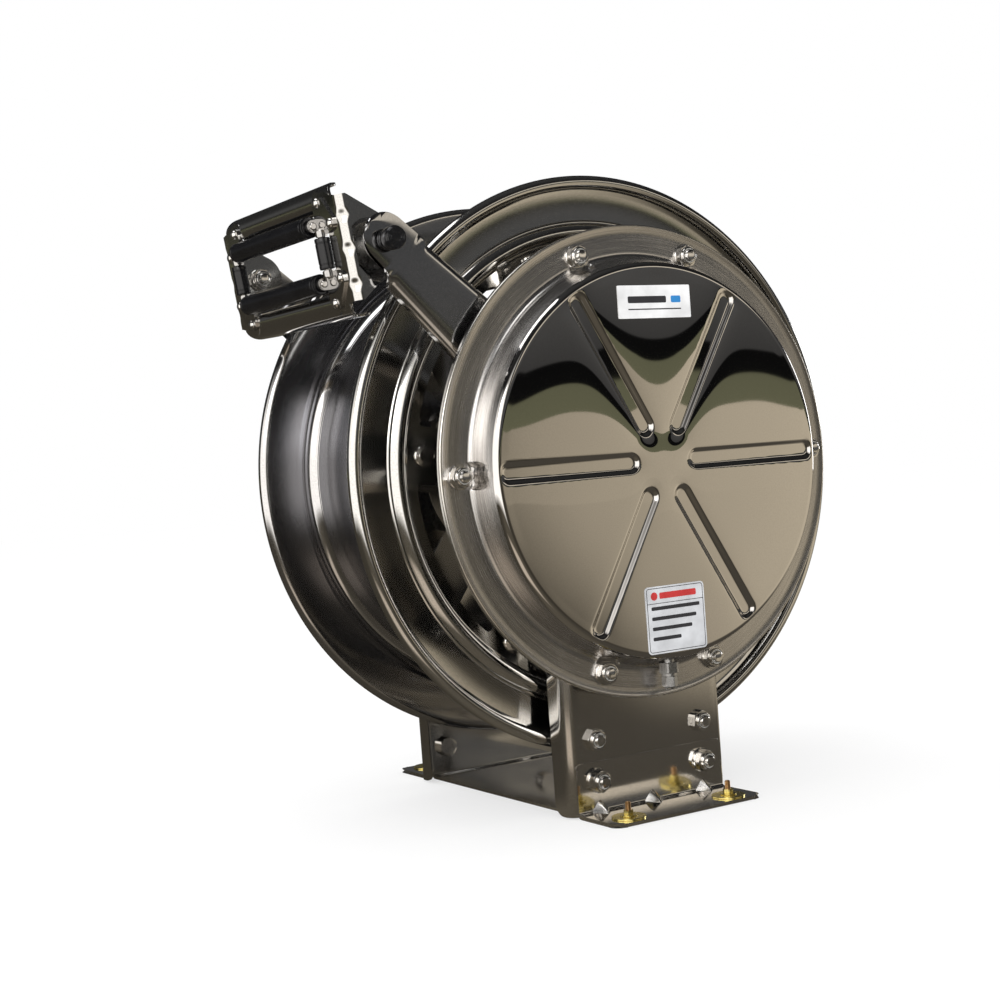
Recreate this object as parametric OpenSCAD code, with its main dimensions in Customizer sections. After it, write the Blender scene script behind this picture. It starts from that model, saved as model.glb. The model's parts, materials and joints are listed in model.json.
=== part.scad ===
// Spring rewind hose reel on two pedestals, with a four-roller hose guide on two arms.
// Origin: on the floor below the middle of the drum. +Z up, drum axis along Y,
// spring case on the -Y side, water inlet on the +Y side, guide head towards -X.

/* [Drum] */
// Height of the drum axis above the floor
axis_h = 295; // [290:1:310]
// Outer radius of the drum flanges
drum_r = 250; // [240:1:252]
// Distance from the drum centre to the outer face of each flange sheet
flange_y = 84; // [80:0.5:85]
// Thickness of the flange sheet
flange_t = 1.5; // [1:0.1:2]
// Radius of the wired edge round each flange
bead_r = 6; // [4:0.5:6.5]
// Middle radius of the pressed stiffening ring
ring_r = 202; // [200:1:205]
// Width of the pressed stiffening ring
ring_w = 17; // [12:1:18]
// Height of the pressed stiffening ring
ring_h = 6; // [3:0.5:7]
// Outer radius of the core that the hose winds on
core_r = 190; // [188:1:190]
// Half the width of a spoke between the windows in a flange
spoke_half_w = 24; // [20:0.5:26]
// Radius of the solid middle of a flange
spoke_in_r = 84; // [70:1:100]
// Radius of the hollow main shaft
shaft_r = 15; // [13:0.5:16]

/* [Spring case] */
// Outer radius of the bolted rim
case_rim_r = 199; // [195:1:205]
// Radius of the side wall where it meets the rim
case_wall_r = 170; // [166:1:171]
// Radius of the side wall where it meets the face
case_face_r = 164; // [160:1:165]
// Distance from the drum centre to the front of the rim
case_rim_y = 147; // [146:0.5:149]
// Distance from the drum centre to the front face
case_face_y = 175; // [172:0.5:180]
// Sheet thickness of the cover
case_t = 1.5; // [1:0.1:2]
// Bolt circle radius of the case
case_bolt_r = 181; // [179:1:184]
// Angle of the upper and lower case bolts either side of vertical
case_bolt_spread = 18; // [15:0.5:20]
// Radius where each pressed face groove starts
groove_in = 34; // [30:1:40]
// Radius where each pressed face groove ends
groove_out = 152; // [140:1:154]
// Width of a pressed face groove
groove_w = 18; // [12:1:20]
// Depth of a pressed face groove
groove_h = 3; // [2:0.5:3]

/* [Pedestals] */
// Distance from the drum centre to the outer face of the near pedestal
web_near = 121; // [119:0.5:123]
// Distance from the drum centre to the outer face of the far pedestal
web_far = 142; // [138:0.5:146]
// Half the width of a pedestal
post_half_w = 81; // [78:1:84]
// Depth of the pedestal's side flanges
post_depth = 23; // [18:0.5:24]
// Outer bend radius of a pedestal
post_bend_r = 8.5; // [6:0.5:10]
// Sheet thickness of the pedestals
sheet_t = 2.5; // [2:0.1:3]
// Radius of the rounded top of the near pedestal
near_top_r = 194; // [190:1:196]
// Radius of the rounded top of the far pedestal
far_top_r = 112; // [108:1:120]

/* [Base and feet] */
// Half the width of the base plate
base_half_w = 72; // [68:1:72]
// Height of the base plate's turned-up ends
base_up_h = 78; // [76:1:84]
// Half the width of each foot bracket
foot_half_w = 77; // [72:1:78]
// Depth of each foot bracket on the floor
foot_depth = 58; // [54:1:62]
// Height of each foot bracket
foot_h = 46; // [42:1:48]
// Thickness of each foot bracket
foot_t = 3; // [2.5:0.1:3.5]
// Outer bend radius of each foot bracket
foot_bend_r = 6; // [5:0.5:8]
// Radius of the front corners of each foot bracket
foot_corner_r = 10; // [6:1:12]
// Half the spacing of the floor holes across the reel
foot_hole_x = 52.7; // [48:0.1:56]
// Distance from the pedestal face to the floor holes
foot_hole_y = 40.3; // [36:0.1:42]
// Radius of a floor hole
foot_hole_r = 5.5; // [4.5:0.1:6]
// Half the spacing of the base bolts
base_bolt_x = 56; // [50:0.5:58]
// Heights of the lower and the upper base bolts
base_bolt_z = [29.5, 64.5];

/* [Arms] */
// Distance of the head pivot from the drum axis, towards the front
pivot_x = 222; // [216:1:228]
// Height of the head pivot above the drum axis
pivot_z = 188; // [180:0.5:190]
// Radius of the rounded end of an arm
arm_end_r = 19.5; // [18:0.5:21]
// Slope of the upper edge of an arm, in degrees below level
arm_top_slope = 39; // [38:0.5:40]
// Slope of the lower edge of an arm, in degrees below level
arm_low_slope = 46.4; // [45:0.1:47]
// Distance from the drum centre to the outer face of the near arm
near_arm_y = 134; // [133:0.5:135]
// Distance from the drum centre to the outer face of the far arm
far_arm_y = 121.5; // [121:0.5:123]

/* [Guide head] */
// Radius of the clamp knob
knob_r = 9.2; // [8.5:0.1:11]
// Backward lean of the guide head face, in degrees
head_lean = 7.5; // [5:0.5:10]
// Distance from the face to the pivot
head_pivot_u = 28; // [26:0.5:32]
// Half the width of the guide head
head_half_w = 118; // [116:0.5:118]
// Half the height of the guide head
head_half_h = 51; // [49:0.5:53]
// Depth of the guide head's upper plate
head_top_depth = 13; // [10:1:16]
// Depth of the guide head's lower plate
head_low_depth = 22; // [16:1:24]
// Half the width of the window
window_half_w = 92; // [90:0.5:94]
// Half the height of the window
window_half_h = 35.5; // [34:0.5:36]
// Radius of the long rollers
long_roller_r = 8.5; // [8:0.1:9]
// Distance of the long roller axes in front of the face
long_roller_u = 6; // [5.5:0.5:8]
// Half the length of the long rollers
long_roller_half = 74; // [70:0.5:74]
// Distance of the long rollers from the middle of the window
long_roller_v = 22.9; // [22.5:0.1:23.5]
// Radius of the short rollers
short_roller_r = 6.2; // [5.8:0.1:6.4]
// Distance of the short roller axes in front of the face
short_roller_u = 3.2; // [3.2:0.1:4]
// Half the length of the short rollers
short_roller_half = 12.4; // [11:0.1:12.8]
// Distance of the short rollers from the middle of the window
short_roller_y = 85; // [84.8:0.1:85.2]

/* [Hidden] */
$fn = 64;

NEAR = -1;
FAR = 1;
eps = 0.01;
fit = 0.05;               // running clearance of a shaft in its hole

bolt_r = 5;               // main fasteners
hex_af = 17;
head_t = 6.4;
nut_t = 8.4;
washer_r = 10.5;
washer_t = 2;
thread_out = 2.6;         // thread that shows beyond a nut
small_bolt_r = 4;
small_hex_af = 13;
small_head_t = 5.3;

base_t = 2.5;
case_back_t = 2.5;
case_back_y = case_rim_y - case_t;
corner_r = 5;
anchor_y = 160;
flange_in = flange_y - flange_t;
bead_c = drum_r - bead_r;
housing_t = 6;
housing_r = 42;
housing_boss_r = 28;
housing_boss_len = 18;
bush_r = 19;
housing_bolt_r = 33;
tie_r = 178;
tie_count = 6;
tie_angle = 54;
window_r = 186;
arm_t = 2.5;
near_arm_root = [-38, -60];
arm_bolt_points = [[-47, 52], [-64, 58], [-64, 14]];
shaft_near_end = case_face_y - 5;
shaft_far_step = 158;
shaft_far_end = 182;
spigot_r = 12;
bore_r = 8;
ratchet_r = 60;
ratchet_y = 100;
ratchet_t = 5;
notch_count = 12;
pawl_reach = 50;
pawl_line_r = 68;
pawl_notch_angle = 30;
pawl_lift = 10;
pawl_bolt_r = 4;
arm_pivot = [-pivot_x, pivot_z];
head_t_sheet = 2.5;
head_bend = 5.5;
clip_t = 2;
saddle_len = 5;
axle_r = 3;
rivet_r = 2;
long_rivet = [84, 39.7];
short_rivet = [101, 21.5];

// Pawl pivot, from the notch it drops into
pawl_pivot = pawl_line_r * [cos(pawl_notch_angle), sin(pawl_notch_angle)]
    + pawl_reach * [-sin(pawl_notch_angle), cos(pawl_notch_angle)];

function web_of(side) = side == NEAR ? web_near : web_far;
function ray(r, a) = r * [cos(a), sin(a)];
function on_edge(p, slope, x) = [x, p[1] - (x - p[0]) * tan(slope)];
function case_angles() = [0, 180, 90 - case_bolt_spread, 90 + case_bolt_spread,
    270 - case_bolt_spread, 270 + case_bolt_spread];

// ---- helpers: "outward" turns +Y into the distance away from the drum centre ----

module outward(side) {
    if (side == NEAR) mirror([0, 1, 0]) children();
    else children();
}

module at_axis() {
    translate([0, 0, axis_h]) children();
}

module at_xz(p) {
    translate([p[0], 0, p[1]]) children();
}

// Extrudes a shape drawn in x and z from y0 to y1
module slab(y0, y1) {
    translate([0, y1, 0]) rotate([90, 0, 0]) linear_extrude(y1 - y0) children();
}

module rod(r, y0, y1) {
    slab(y0, y1) circle(r);
}

module hex(af, y0, y1) {
    slab(y0, y1) circle(r = af / sqrt(3), $fn = 6);
}

module tube(r_out, r_in, y0, y1) {
    slab(y0, y1) difference() {
        circle(r_out);
        circle(r_in);
    }
}

// Turns a profile drawn as (radius, y) about the Y axis
module turned() {
    rotate([-90, 0, 0]) rotate_extrude($fn = 96) children();
}

module quarter_ring(r_out, r_in) {
    intersection() {
        difference() {
            circle(r_out);
            circle(r_in);
        }
        square(r_out);
    }
}

// L section: legs along +x and +y from an outer bend of radius r
module angle_section(leg_x, leg_y, r, t) {
    translate([r, 0]) square([leg_x - r, t]);
    translate([0, r]) square([t, leg_y - r]);
    translate([r, r]) rotate(180) quarter_ring(r, r - t);
}

module hex_nut(af, r, y0, y1) {
    difference() {
        hex(af, y0, y1);
        rod(r + fit, y0 - 1, y1 + 1);
    }
}

// ---- pedestals, base and feet ----

module pedestal_section() {
    for (s = [0, 1]) mirror([s, 0])
        translate([-post_half_w, 0]) angle_section(post_half_w + eps, post_depth, post_bend_r, sheet_t);
}

module pedestal(side, top_r) {
    web = web_of(side);
    outward(side) difference() {
        intersection() {
            translate([0, web, 1]) mirror([0, 1]) linear_extrude(axis_h + top_r) pedestal_section();
            at_axis() slab(web - post_depth - 1, web + 1) union() {
                circle(top_r);
                translate([-post_half_w - 1, -axis_h]) square([2 * post_half_w + 2, axis_h + 70]);
            }
        }
        at_axis() rod(bush_r + 3, web - sheet_t - 1, web + 1);
        for (x = [-1, 1] * base_bolt_x, z = base_bolt_z)
            at_xz([x, z]) rod(bolt_r + fit, web - sheet_t - 1, web + 1);
        at_axis() for (a = [45:90:315])
            at_xz(ray(housing_bolt_r, a)) rod(small_bolt_r + fit, web - sheet_t - 1, web + 1);
        at_axis() for (p = arm_bolt_points)
            at_xz(p) rod(small_bolt_r + fit, web - sheet_t - 1, web + 1);
        if (side == NEAR) at_axis() for (a = case_angles())
            at_xz(ray(case_bolt_r, a)) rod(bolt_r + fit, web - sheet_t - 1, web + 1);
        if (side == FAR) translate([-post_half_w - 1, web - post_depth - 1, axis_h - 6])
            cube([post_bend_r + 1, post_depth + 2, far_top_r + 10]);
        if (side == FAR) at_axis()
            at_xz(pawl_pivot) rod(pawl_bolt_r + fit, web - sheet_t - 1, web + 1);
    }
}

module near_pedestal() {
    color("gainsboro") pedestal(NEAR, near_top_r);
}

module far_pedestal() {
    color("gainsboro") pedestal(FAR, far_top_r);
}

module base_plate() {
    near_end = web_near - sheet_t;
    far_end = web_far - sheet_t;
    bend = 5;
    color("darkgray") difference() {
        translate([-base_half_w, 0, 0]) rotate([90, 0, 90]) linear_extrude(2 * base_half_w) {
            translate([-near_end, 0]) angle_section(near_end + eps, base_up_h, bend, base_t);
            translate([far_end, 0]) mirror([1, 0]) angle_section(far_end, base_up_h, bend, base_t);
        }
        for (x = [-1, 1] * base_bolt_x, z = base_bolt_z)
            at_xz([x, z]) rod(bolt_r + fit, -near_end - 1, far_end + 1);
    }
}

// Outline of a foot leg from its back edge, with the two far corners rounded
module foot_outline(depth, r) {
    translate([-foot_half_w, 0]) square([2 * foot_half_w, depth - r]);
    translate([r - foot_half_w, 0]) square([2 * (foot_half_w - r), depth]);
    for (x = [-1, 1]) translate([x * (foot_half_w - r), depth - r]) circle(r);
}

module foot_bracket(side) {
    web = web_of(side);
    outward(side) difference() {
        intersection() {
            translate([-foot_half_w, web, 0]) rotate([90, 0, 90]) linear_extrude(2 * foot_half_w)
                angle_section(foot_depth, foot_h, foot_bend_r, foot_t);
            translate([0, web - 1, -1]) linear_extrude(foot_h + 2)
                foot_outline(foot_depth + 1, foot_corner_r);
            translate([0, web + foot_depth + 1, -1]) rotate([90, 0, 0]) linear_extrude(foot_depth + 2)
                foot_outline(foot_h + 1, foot_corner_r / 2);
        }
        for (x = [-1, 1]) {
            translate([x * foot_hole_x, web + foot_hole_y, -1]) cylinder(r = foot_hole_r, h = foot_t + 2);
            at_xz([x * base_bolt_x, base_bolt_z[0]]) rod(bolt_r + fit, web - 1, web + foot_t + 1);
        }
    }
}

module near_foot_bracket() {
    color("silver") foot_bracket(NEAR);
}

module far_foot_bracket() {
    color("silver") foot_bracket(FAR);
}

// Places its children at each base bolt, with y = 0 at the outermost clamped face
module at_base_bolts() {
    for (side = [NEAR, FAR]) outward(side)
        for (x = [-1, 1] * base_bolt_x, row = [0, 1])
            translate([x, web_of(side) + (row == 0 ? foot_t : 0), base_bolt_z[row]])
                children(row);
}

module base_bolt(grip) {
    rod(bolt_r, -grip - 1, washer_t + nut_t + thread_out);
    hex(hex_af, -grip - head_t, -grip);
}

module base_bolts() {
    color("lightgray") at_base_bolts() {
        base_bolt(base_t + sheet_t + foot_t);
        base_bolt(base_t + sheet_t);
    }
}

module base_washer() {
    tube(washer_r, bolt_r + fit, 0, washer_t);
}

module base_washers() {
    color("silver") at_base_bolts() {
        base_washer();
        base_washer();
    }
}

module base_nut() {
    hex_nut(hex_af, bolt_r, washer_t, washer_t + nut_t);
}

module base_nuts() {
    color("lightgray") at_base_bolts() {
        base_nut();
        base_nut();
    }
}

// ---- arms ----

module arm_outline() {
    top0 = arm_pivot + arm_end_r * [sin(arm_top_slope), cos(arm_top_slope)];
    low0 = arm_pivot - arm_end_r * [sin(arm_low_slope), cos(arm_low_slope)];
    top1 = on_edge(top0, arm_top_slope, near_arm_root[0]);
    low1 = on_edge(low0, arm_low_slope, near_arm_root[1]);
    translate(arm_pivot) circle(arm_end_r);
    polygon([arm_pivot, top0, top1, [near_arm_root[0], 36], low1, low0]);
}

// Strip just inside a sloping edge of the arm, from distance d0 to d1 along it
module arm_edge_strip(slope, d0, d1, below) {
    translate(arm_pivot) rotate(-slope)
        translate([d0, below ? -arm_end_r : arm_end_r - arm_t]) square([d1 - d0, arm_t]);
}

module arm(web_in, flange_in_y, flange_out_y, flange_start) {
    at_axis() difference() {
        union() {
            slab(web_in, web_in + arm_t) arm_outline();
            slab(flange_in_y, flange_out_y) {
                arm_edge_strip(arm_top_slope, flange_start, 215, false);
                arm_edge_strip(arm_low_slope, flange_start, 215, true);
            }
        }
        at_xz(arm_pivot) rod(bolt_r + fit, web_in - 1, web_in + arm_t + 1);
        for (p = arm_bolt_points)
            at_xz(p) rod(small_bolt_r + fit, web_in - 1, web_in + arm_t + 1);
    }
}

module near_arm() {
    color("dimgray") outward(NEAR)
        arm(near_arm_y - arm_t, web_near, near_arm_y, arm_end_r);
}

module far_arm() {
    color("dimgray") outward(FAR)
        arm(far_arm_y - arm_t, far_arm_y - arm_t, web_far - sheet_t, arm_end_r + 48);
}

module at_arm_bolts(side) {
    outward(side) at_axis() for (p = arm_bolt_points) at_xz(p) children();
}

module arm_bolts() {
    color("lightgray") {
        at_arm_bolts(NEAR) {
            rod(small_bolt_r, web_near - sheet_t - 8, near_arm_y + 1);
            hex(small_hex_af, near_arm_y, near_arm_y + small_head_t);
            tube(8, small_bolt_r, web_near, near_arm_y - arm_t);
        }
        at_arm_bolts(FAR) {
            rod(small_bolt_r, far_arm_y - arm_t - 1, web_far + 9);
            hex(small_hex_af, far_arm_y - arm_t - small_head_t, far_arm_y - arm_t);
        }
    }
}

module far_arm_spacers() {
    color("silver") at_arm_bolts(FAR)
        tube(8, small_bolt_r + fit, far_arm_y, web_far - sheet_t);
}

module arm_nuts() {
    color("lightgray") {
        at_arm_bolts(NEAR)
            hex_nut(small_hex_af, small_bolt_r, web_near - sheet_t - 6.5, web_near - sheet_t);
        at_arm_bolts(FAR) hex_nut(small_hex_af, small_bolt_r, web_far, web_far + 6.5);
    }
}

// ---- bearings ----

module bearing_housing(side) {
    back = web_of(side) - sheet_t;
    outward(side) at_axis() difference() {
        union() {
            rod(housing_r, back - housing_t, back);
            rod(housing_boss_r, back - housing_boss_len, back - 1);
        }
        rod(bush_r + fit, back - housing_boss_len - 1, back + 1);
        for (a = [45:90:315])
            at_xz(ray(housing_bolt_r, a)) rod(small_bolt_r + fit, back - housing_t - 1, back + 1);
    }
}

module near_bearing_housing() {
    color("gray") bearing_housing(NEAR);
}

module far_bearing_housing() {
    color("gray") bearing_housing(FAR);
}

module bush(side) {
    web = web_of(side);
    outward(side) at_axis() tube(bush_r, shaft_r + fit, web - sheet_t - housing_boss_len, web);
}

module near_bush() {
    color("peru") bush(NEAR);
}

module far_bush() {
    color("peru") bush(FAR);
}

module bearing_bolts() {
    color("lightgray") for (side = [NEAR, FAR]) outward(side) at_axis()
        for (a = [45:90:315]) at_xz(ray(housing_bolt_r, a)) {
            web = web_of(side);
            rod(small_bolt_r, web - sheet_t - housing_t, web + 1);
            hex(small_hex_af, web, web + small_head_t);
        }
}

// ---- spring case ----

module at_case_bolts(long_ones, short_ones) {
    outward(NEAR) at_axis() for (a = case_angles()) {
        is_short = abs(sin(a)) < 0.5;
        if (is_short ? short_ones : long_ones) at_xz(ray(case_bolt_r, a)) children();
    }
}

module case_back_plate() {
    color("darkgray") outward(NEAR) at_axis() difference() {
        rod(case_rim_r, case_back_y - case_back_t, case_back_y);
        rod(shaft_r + 8, case_back_y - case_back_t - 1, case_back_y + 1);
        for (a = case_angles())
            at_xz(ray(case_bolt_r, a)) rod(bolt_r + fit, case_back_y - 5, case_back_y + 1);
    }
}

module case_shell_profile(inset) {
    r0 = case_wall_r - inset;
    r1 = case_face_r - inset;
    y1 = case_face_y - inset;
    y0 = case_back_y - (inset > 0 ? 1 : 0);
    c = corner_r - min(inset, 1.5);
    polygon([[0, y0], [r0, y0], [r1, y1 - c], [r1 - c, y1], [0, y1]]);
    translate([r1 - c, y1 - c]) circle(c);
}

// Bar with round ends, as wide as a groove plus a margin on every side
module groove_bar(margin, y0, y1) {
    d = groove_w + 2 * margin;
    slab(y0, y1) {
        translate([groove_in, -d / 2]) square([groove_out - groove_in, d]);
        for (r = [groove_in, groove_out]) translate([r, 0]) circle(d = d);
    }
}

module at_grooves() {
    for (a = [0:60:300]) rotate([0, a, 0]) children();
}

module case_cover() {
    color("silver") outward(NEAR) at_axis() difference() {
        union() {
            difference() {
                union() {
                    rod(case_rim_r, case_back_y, case_rim_y);
                    turned() case_shell_profile(0);
                }
                turned() case_shell_profile(case_t);
            }
            at_grooves() groove_bar(case_t, case_face_y - groove_h - case_t, case_face_y - case_t / 2);
        }
        at_grooves() groove_bar(0, case_face_y - groove_h, case_face_y + 1);
        for (a = case_angles())
            at_xz(ray(case_bolt_r, a)) rod(bolt_r + fit, case_back_y - 1, case_rim_y + 1);
        translate([0, anchor_y, -case_wall_r]) cylinder(r = bolt_r + fit, h = 40, center = true);
    }
}

module case_bolts() {
    tip = case_rim_y + 1.6 + 6.5 + thread_out;
    head_back = web_near - sheet_t;
    short_back = case_back_y - case_back_t;
    color("lightgray") {
        at_case_bolts(true, false) {
            rod(bolt_r, head_back - 1, tip);
            hex(hex_af, head_back - head_t, head_back);
        }
        at_case_bolts(false, true) {
            rod(bolt_r, short_back - 1, tip);
            hex(hex_af, short_back - head_t, short_back);
        }
    }
}

module case_washers() {
    color("silver") at_case_bolts(true, true)
        tube(washer_r, bolt_r + fit, case_rim_y, case_rim_y + 1.6);
}

module case_nuts() {
    color("lightgray") at_case_bolts(true, true)
        hex_nut(hex_af, bolt_r, case_rim_y + 1.6, case_rim_y + 8.1);
}

module case_spacers() {
    color("gray") at_case_bolts(true, false)
        tube(9, bolt_r + fit, web_near, case_back_y - case_back_t);
}

module spring_anchor_bolt() {
    wall = case_wall_r - 2;
    color("lightgray") outward(NEAR) at_axis() translate([0, anchor_y, 0]) rotate([180, 0, 0]) {
        translate([0, 0, wall - 14]) cylinder(r = bolt_r, h = 38);
        translate([0, 0, wall + 1]) cylinder(r = 8 / cos(30), h = 9, $fn = 6);
        translate([0, 0, wall + 14]) cylinder(r = 6 / cos(30), h = 7, $fn = 6);
    }
}

// Flat spiral made of half rings whose centres alternate by half the pitch
module power_spring() {
    r_first = shaft_r + 13;
    pitch = 15;
    turns = 8;
    strip = 2;
    color("slategray") outward(NEAR) at_axis() slab(case_rim_y + 4, case_face_y - 5)
        for (i = [0:2 * turns - 1]) {
            r = r_first + i * pitch / 2;
            up = i % 2 == 0;
            translate([up ? 0 : pitch / 2, 0]) intersection() {
                difference() {
                    circle(r + strip);
                    circle(r);
                }
                translate([-r - 5, up ? -eps : -r - 5]) square([2 * r + 10, r + 5 + eps]);
            }
        }
}

module label_outline(w, h, r) {
    square([w, h - 2 * r], center = true);
    square([w - 2 * r, h], center = true);
    for (x = [-1, 1], z = [-1, 1]) translate([x * (w / 2 - r), z * (h / 2 - r)]) circle(r);
}

module name_plate() {
    color("white") outward(NEAR) at_axis() translate([0, 0, 131.5])
        slab(case_face_y, case_face_y + 0.4) label_outline(74, 27, 1);
}

module notice_plate() {
    color("gainsboro") outward(NEAR) at_axis() translate([0, 0, -131])
        slab(case_face_y, case_face_y + 0.4) label_outline(61, 56, 3);
}

// ---- drum ----

module flange_profile() {
    bump_r = (pow(ring_w / 2, 2) + pow(ring_h, 2)) / (2 * ring_h);
    inner = ring_r - ring_w / 2;
    outer = ring_r + ring_w / 2;
    translate([shaft_r + fit, flange_in]) square([inner - shaft_r + 1, flange_t]);
    translate([outer - 1, flange_in]) square([bead_c - outer + 1, flange_t]);
    translate([bead_c, flange_in + bead_r]) circle(bead_r);
    intersection() {
        translate([ring_r, flange_y + ring_h - bump_r]) difference() {
            circle(bump_r);
            circle(bump_r - flange_t);
        }
        translate([inner - 1, flange_in]) square([ring_w + 2, 2 * bump_r]);
    }
}

// Opening between two spokes, with its middle on +x
module flange_window() {
    apex = spoke_half_w / sin(180 / tie_count);
    reach = window_r;
    intersection() {
        difference() {
            circle(window_r);
            circle(spoke_in_r);
        }
        polygon([[apex, 0], [apex + reach * cos(30), reach / 2], [apex + reach * cos(30), -reach / 2]]);
    }
}

module drum_flange(side) {
    outward(side) at_axis() difference() {
        turned() flange_profile();
        for (i = [0:tie_count - 1])
            at_xz(ray(tie_r, i * 360 / tie_count + tie_angle))
                rod(small_bolt_r + fit, flange_in - 1, flange_y + 1);
        slab(flange_in - 1, flange_y + 1) for (i = [0:tie_count - 1])
            rotate((i + 0.5) * 360 / tie_count + tie_angle) flange_window();
    }
}

module near_flange() {
    color("silver") drum_flange(NEAR);
}

module far_flange() {
    color("silver") drum_flange(FAR);
}

module drum_core() {
    color("darkgray") at_axis() difference() {
        tube(core_r, core_r - 2, -flange_in, flange_in);
        cylinder(r = 9 + fit, h = core_r + 10);
    }
}

module drum_shaft() {
    color("lightgray") at_axis() difference() {
        union() {
            rod(shaft_r, -shaft_near_end, shaft_far_step);
            rod(spigot_r, shaft_far_step - 1, shaft_far_end);
        }
        rod(bore_r, -9, shaft_far_end + 1);
        cylinder(r = 7 + fit, h = shaft_r + 5);
    }
}

module drum_hubs() {
    color("gray") for (side = [NEAR, FAR]) outward(side) at_axis() {
        tube(32, shaft_r + fit, flange_y, flange_y + 12);
    }
}

module at_ties() {
    at_axis() for (i = [0:tie_count - 1]) at_xz(ray(tie_r, i * 360 / tie_count + tie_angle)) children();
}

module drum_tie_bolts() {
    color("lightgray") at_ties() {
        rod(small_bolt_r, -flange_y - 1, flange_y + 9);
        hex(small_hex_af, -flange_y - small_head_t, -flange_y);
    }
}

module drum_tie_nuts() {
    color("lightgray") at_ties() hex_nut(small_hex_af, small_bolt_r, flange_y, flange_y + 6.5);
}

module spring_arbor() {
    color("gray") outward(NEAR) at_axis() tube(25, shaft_r + fit, case_rim_y + 3, case_face_y - 6);
}

module ratchet_wheel() {
    color("darkgray") at_axis() slab(ratchet_y, ratchet_y + ratchet_t) difference() {
        circle(ratchet_r);
        circle(shaft_r + fit);
        for (i = [0:notch_count - 1]) rotate(i * 360 / notch_count)
            polygon([[ratchet_r - 6, -1.5], [ratchet_r + 1, -9], [ratchet_r + 1, 9], [ratchet_r - 6, 1.5]]);
    }
}

module outlet_pipe() {
    color("lightgray") at_axis() translate([0, 0, bore_r]) difference() {
        cylinder(r = 7, h = core_r - 6 - bore_r);
        translate([0, 0, -1]) cylinder(r = 5, h = core_r);
    }
}

module hose_outlet() {
    color("lightgray") at_axis() translate([0, 0, core_r - 6]) difference() {
        union() {
            cylinder(r = 9, h = 30);
            translate([0, 0, 7]) cylinder(r = 12 / cos(30), h = 9, $fn = 6);
        }
        translate([0, 0, -1]) cylinder(r = 5, h = 40);
    }
}

// ---- ratchet pawl ----

module pawl_arm() {
    polygon([[-3, 6], [pawl_reach + 4, 5], [pawl_reach + 4, -4], [pawl_reach + 1.2, -12.5],
        [pawl_reach - 1.2, -12.5], [pawl_reach - 5, -5], [-3, -6]]);
}

module pawl() {
    color("slategray") at_axis() at_xz(pawl_pivot) rotate([0, 90 - pawl_notch_angle - pawl_lift, 0])
        difference() {
            union() {
                rod(8, ratchet_y, ratchet_y + ratchet_t);
                slab(ratchet_y, ratchet_y + ratchet_t) pawl_arm();
            }
            rod(pawl_bolt_r + fit, ratchet_y - 1, ratchet_y + ratchet_t + 1);
        }
}

module pawl_pivot_bolt() {
    color("lightgray") at_axis() at_xz(pawl_pivot) {
        rod(pawl_bolt_r, ratchet_y - 1, web_far + 1);
        rod(7, ratchet_y - 4, ratchet_y - 0.5);
        hex(small_hex_af, web_far, web_far + small_head_t);
    }
}

module pawl_spacer() {
    color("gray") at_axis() at_xz(pawl_pivot)
        tube(6, pawl_bolt_r + fit, ratchet_y + ratchet_t + 0.5, web_far - sheet_t);
}

module pawl_spring() {
    wire = 0.8;
    color("dimgray") at_axis() at_xz(pawl_pivot) for (i = [0:4])
        translate([0, ratchet_y + ratchet_t + 3 + 2.2 * i, 0]) turned() translate([7.2, 0]) circle(wire);
}

// ---- water inlet swivel ----

// Turns +z into the direction of the supply port, away from the guide head
module at_port(y) {
    translate([0, y, 0]) rotate([0, 90, 0]) children();
}

module swivel_body() {
    body_in = shaft_far_step + 3;
    body_out = shaft_far_end + 8;
    port_y = shaft_far_end - 6;
    color("lightgray") at_axis() difference() {
        union() {
            rod(20, body_in, body_out);
            hex(28, body_out - 1, body_out + 4);
            at_port(port_y) translate([0, 0, 7]) cylinder(r = 11, h = 45);
            at_port(port_y) translate([0, 0, 42]) cylinder(r = 15 / cos(30), h = 14, $fn = 6);
        }
        rod(spigot_r + fit, body_in - 1, shaft_far_end + 1);
        tube(16, spigot_r - 1, body_in + 4, body_in + 8);
        at_port(port_y) translate([0, 0, 5]) cylinder(r = 7, h = 40);
        at_port(port_y) translate([0, 0, 44]) cylinder(r = 9.5, h = 13);
    }
}

module swivel_seal() {
    body_in = shaft_far_step + 3;
    color("black") at_axis() tube(16 - fit, spigot_r + 2 * fit, body_in + 4 + fit, body_in + 8 - fit);
}

// ---- guide head: x = depth behind the face, z = height up the face ----

module in_head() {
    translate([-pivot_x, 0, axis_h + pivot_z]) rotate([0, -head_lean, 0])
        translate([-head_pivot_u, 0, 0]) children();
}

// Extrudes a shape drawn in y and z from depth u0 to u1
module face_slab(u0, u1) {
    translate([u0, 0, 0]) rotate([90, 0, 90]) linear_extrude(u1 - u0) children();
}

module at_rivets(points) {
    for (y = [-1, 1], v = [-1, 1]) translate([0, y * points[0], v * points[1]]) rotate([0, 90, 0]) children();
}

module rivet_holes() {
    at_rivets(long_rivet) cylinder(r = rivet_r + fit, h = 30, center = true);
    at_rivets(short_rivet) cylinder(r = rivet_r + fit, h = 30, center = true);
}

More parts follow.
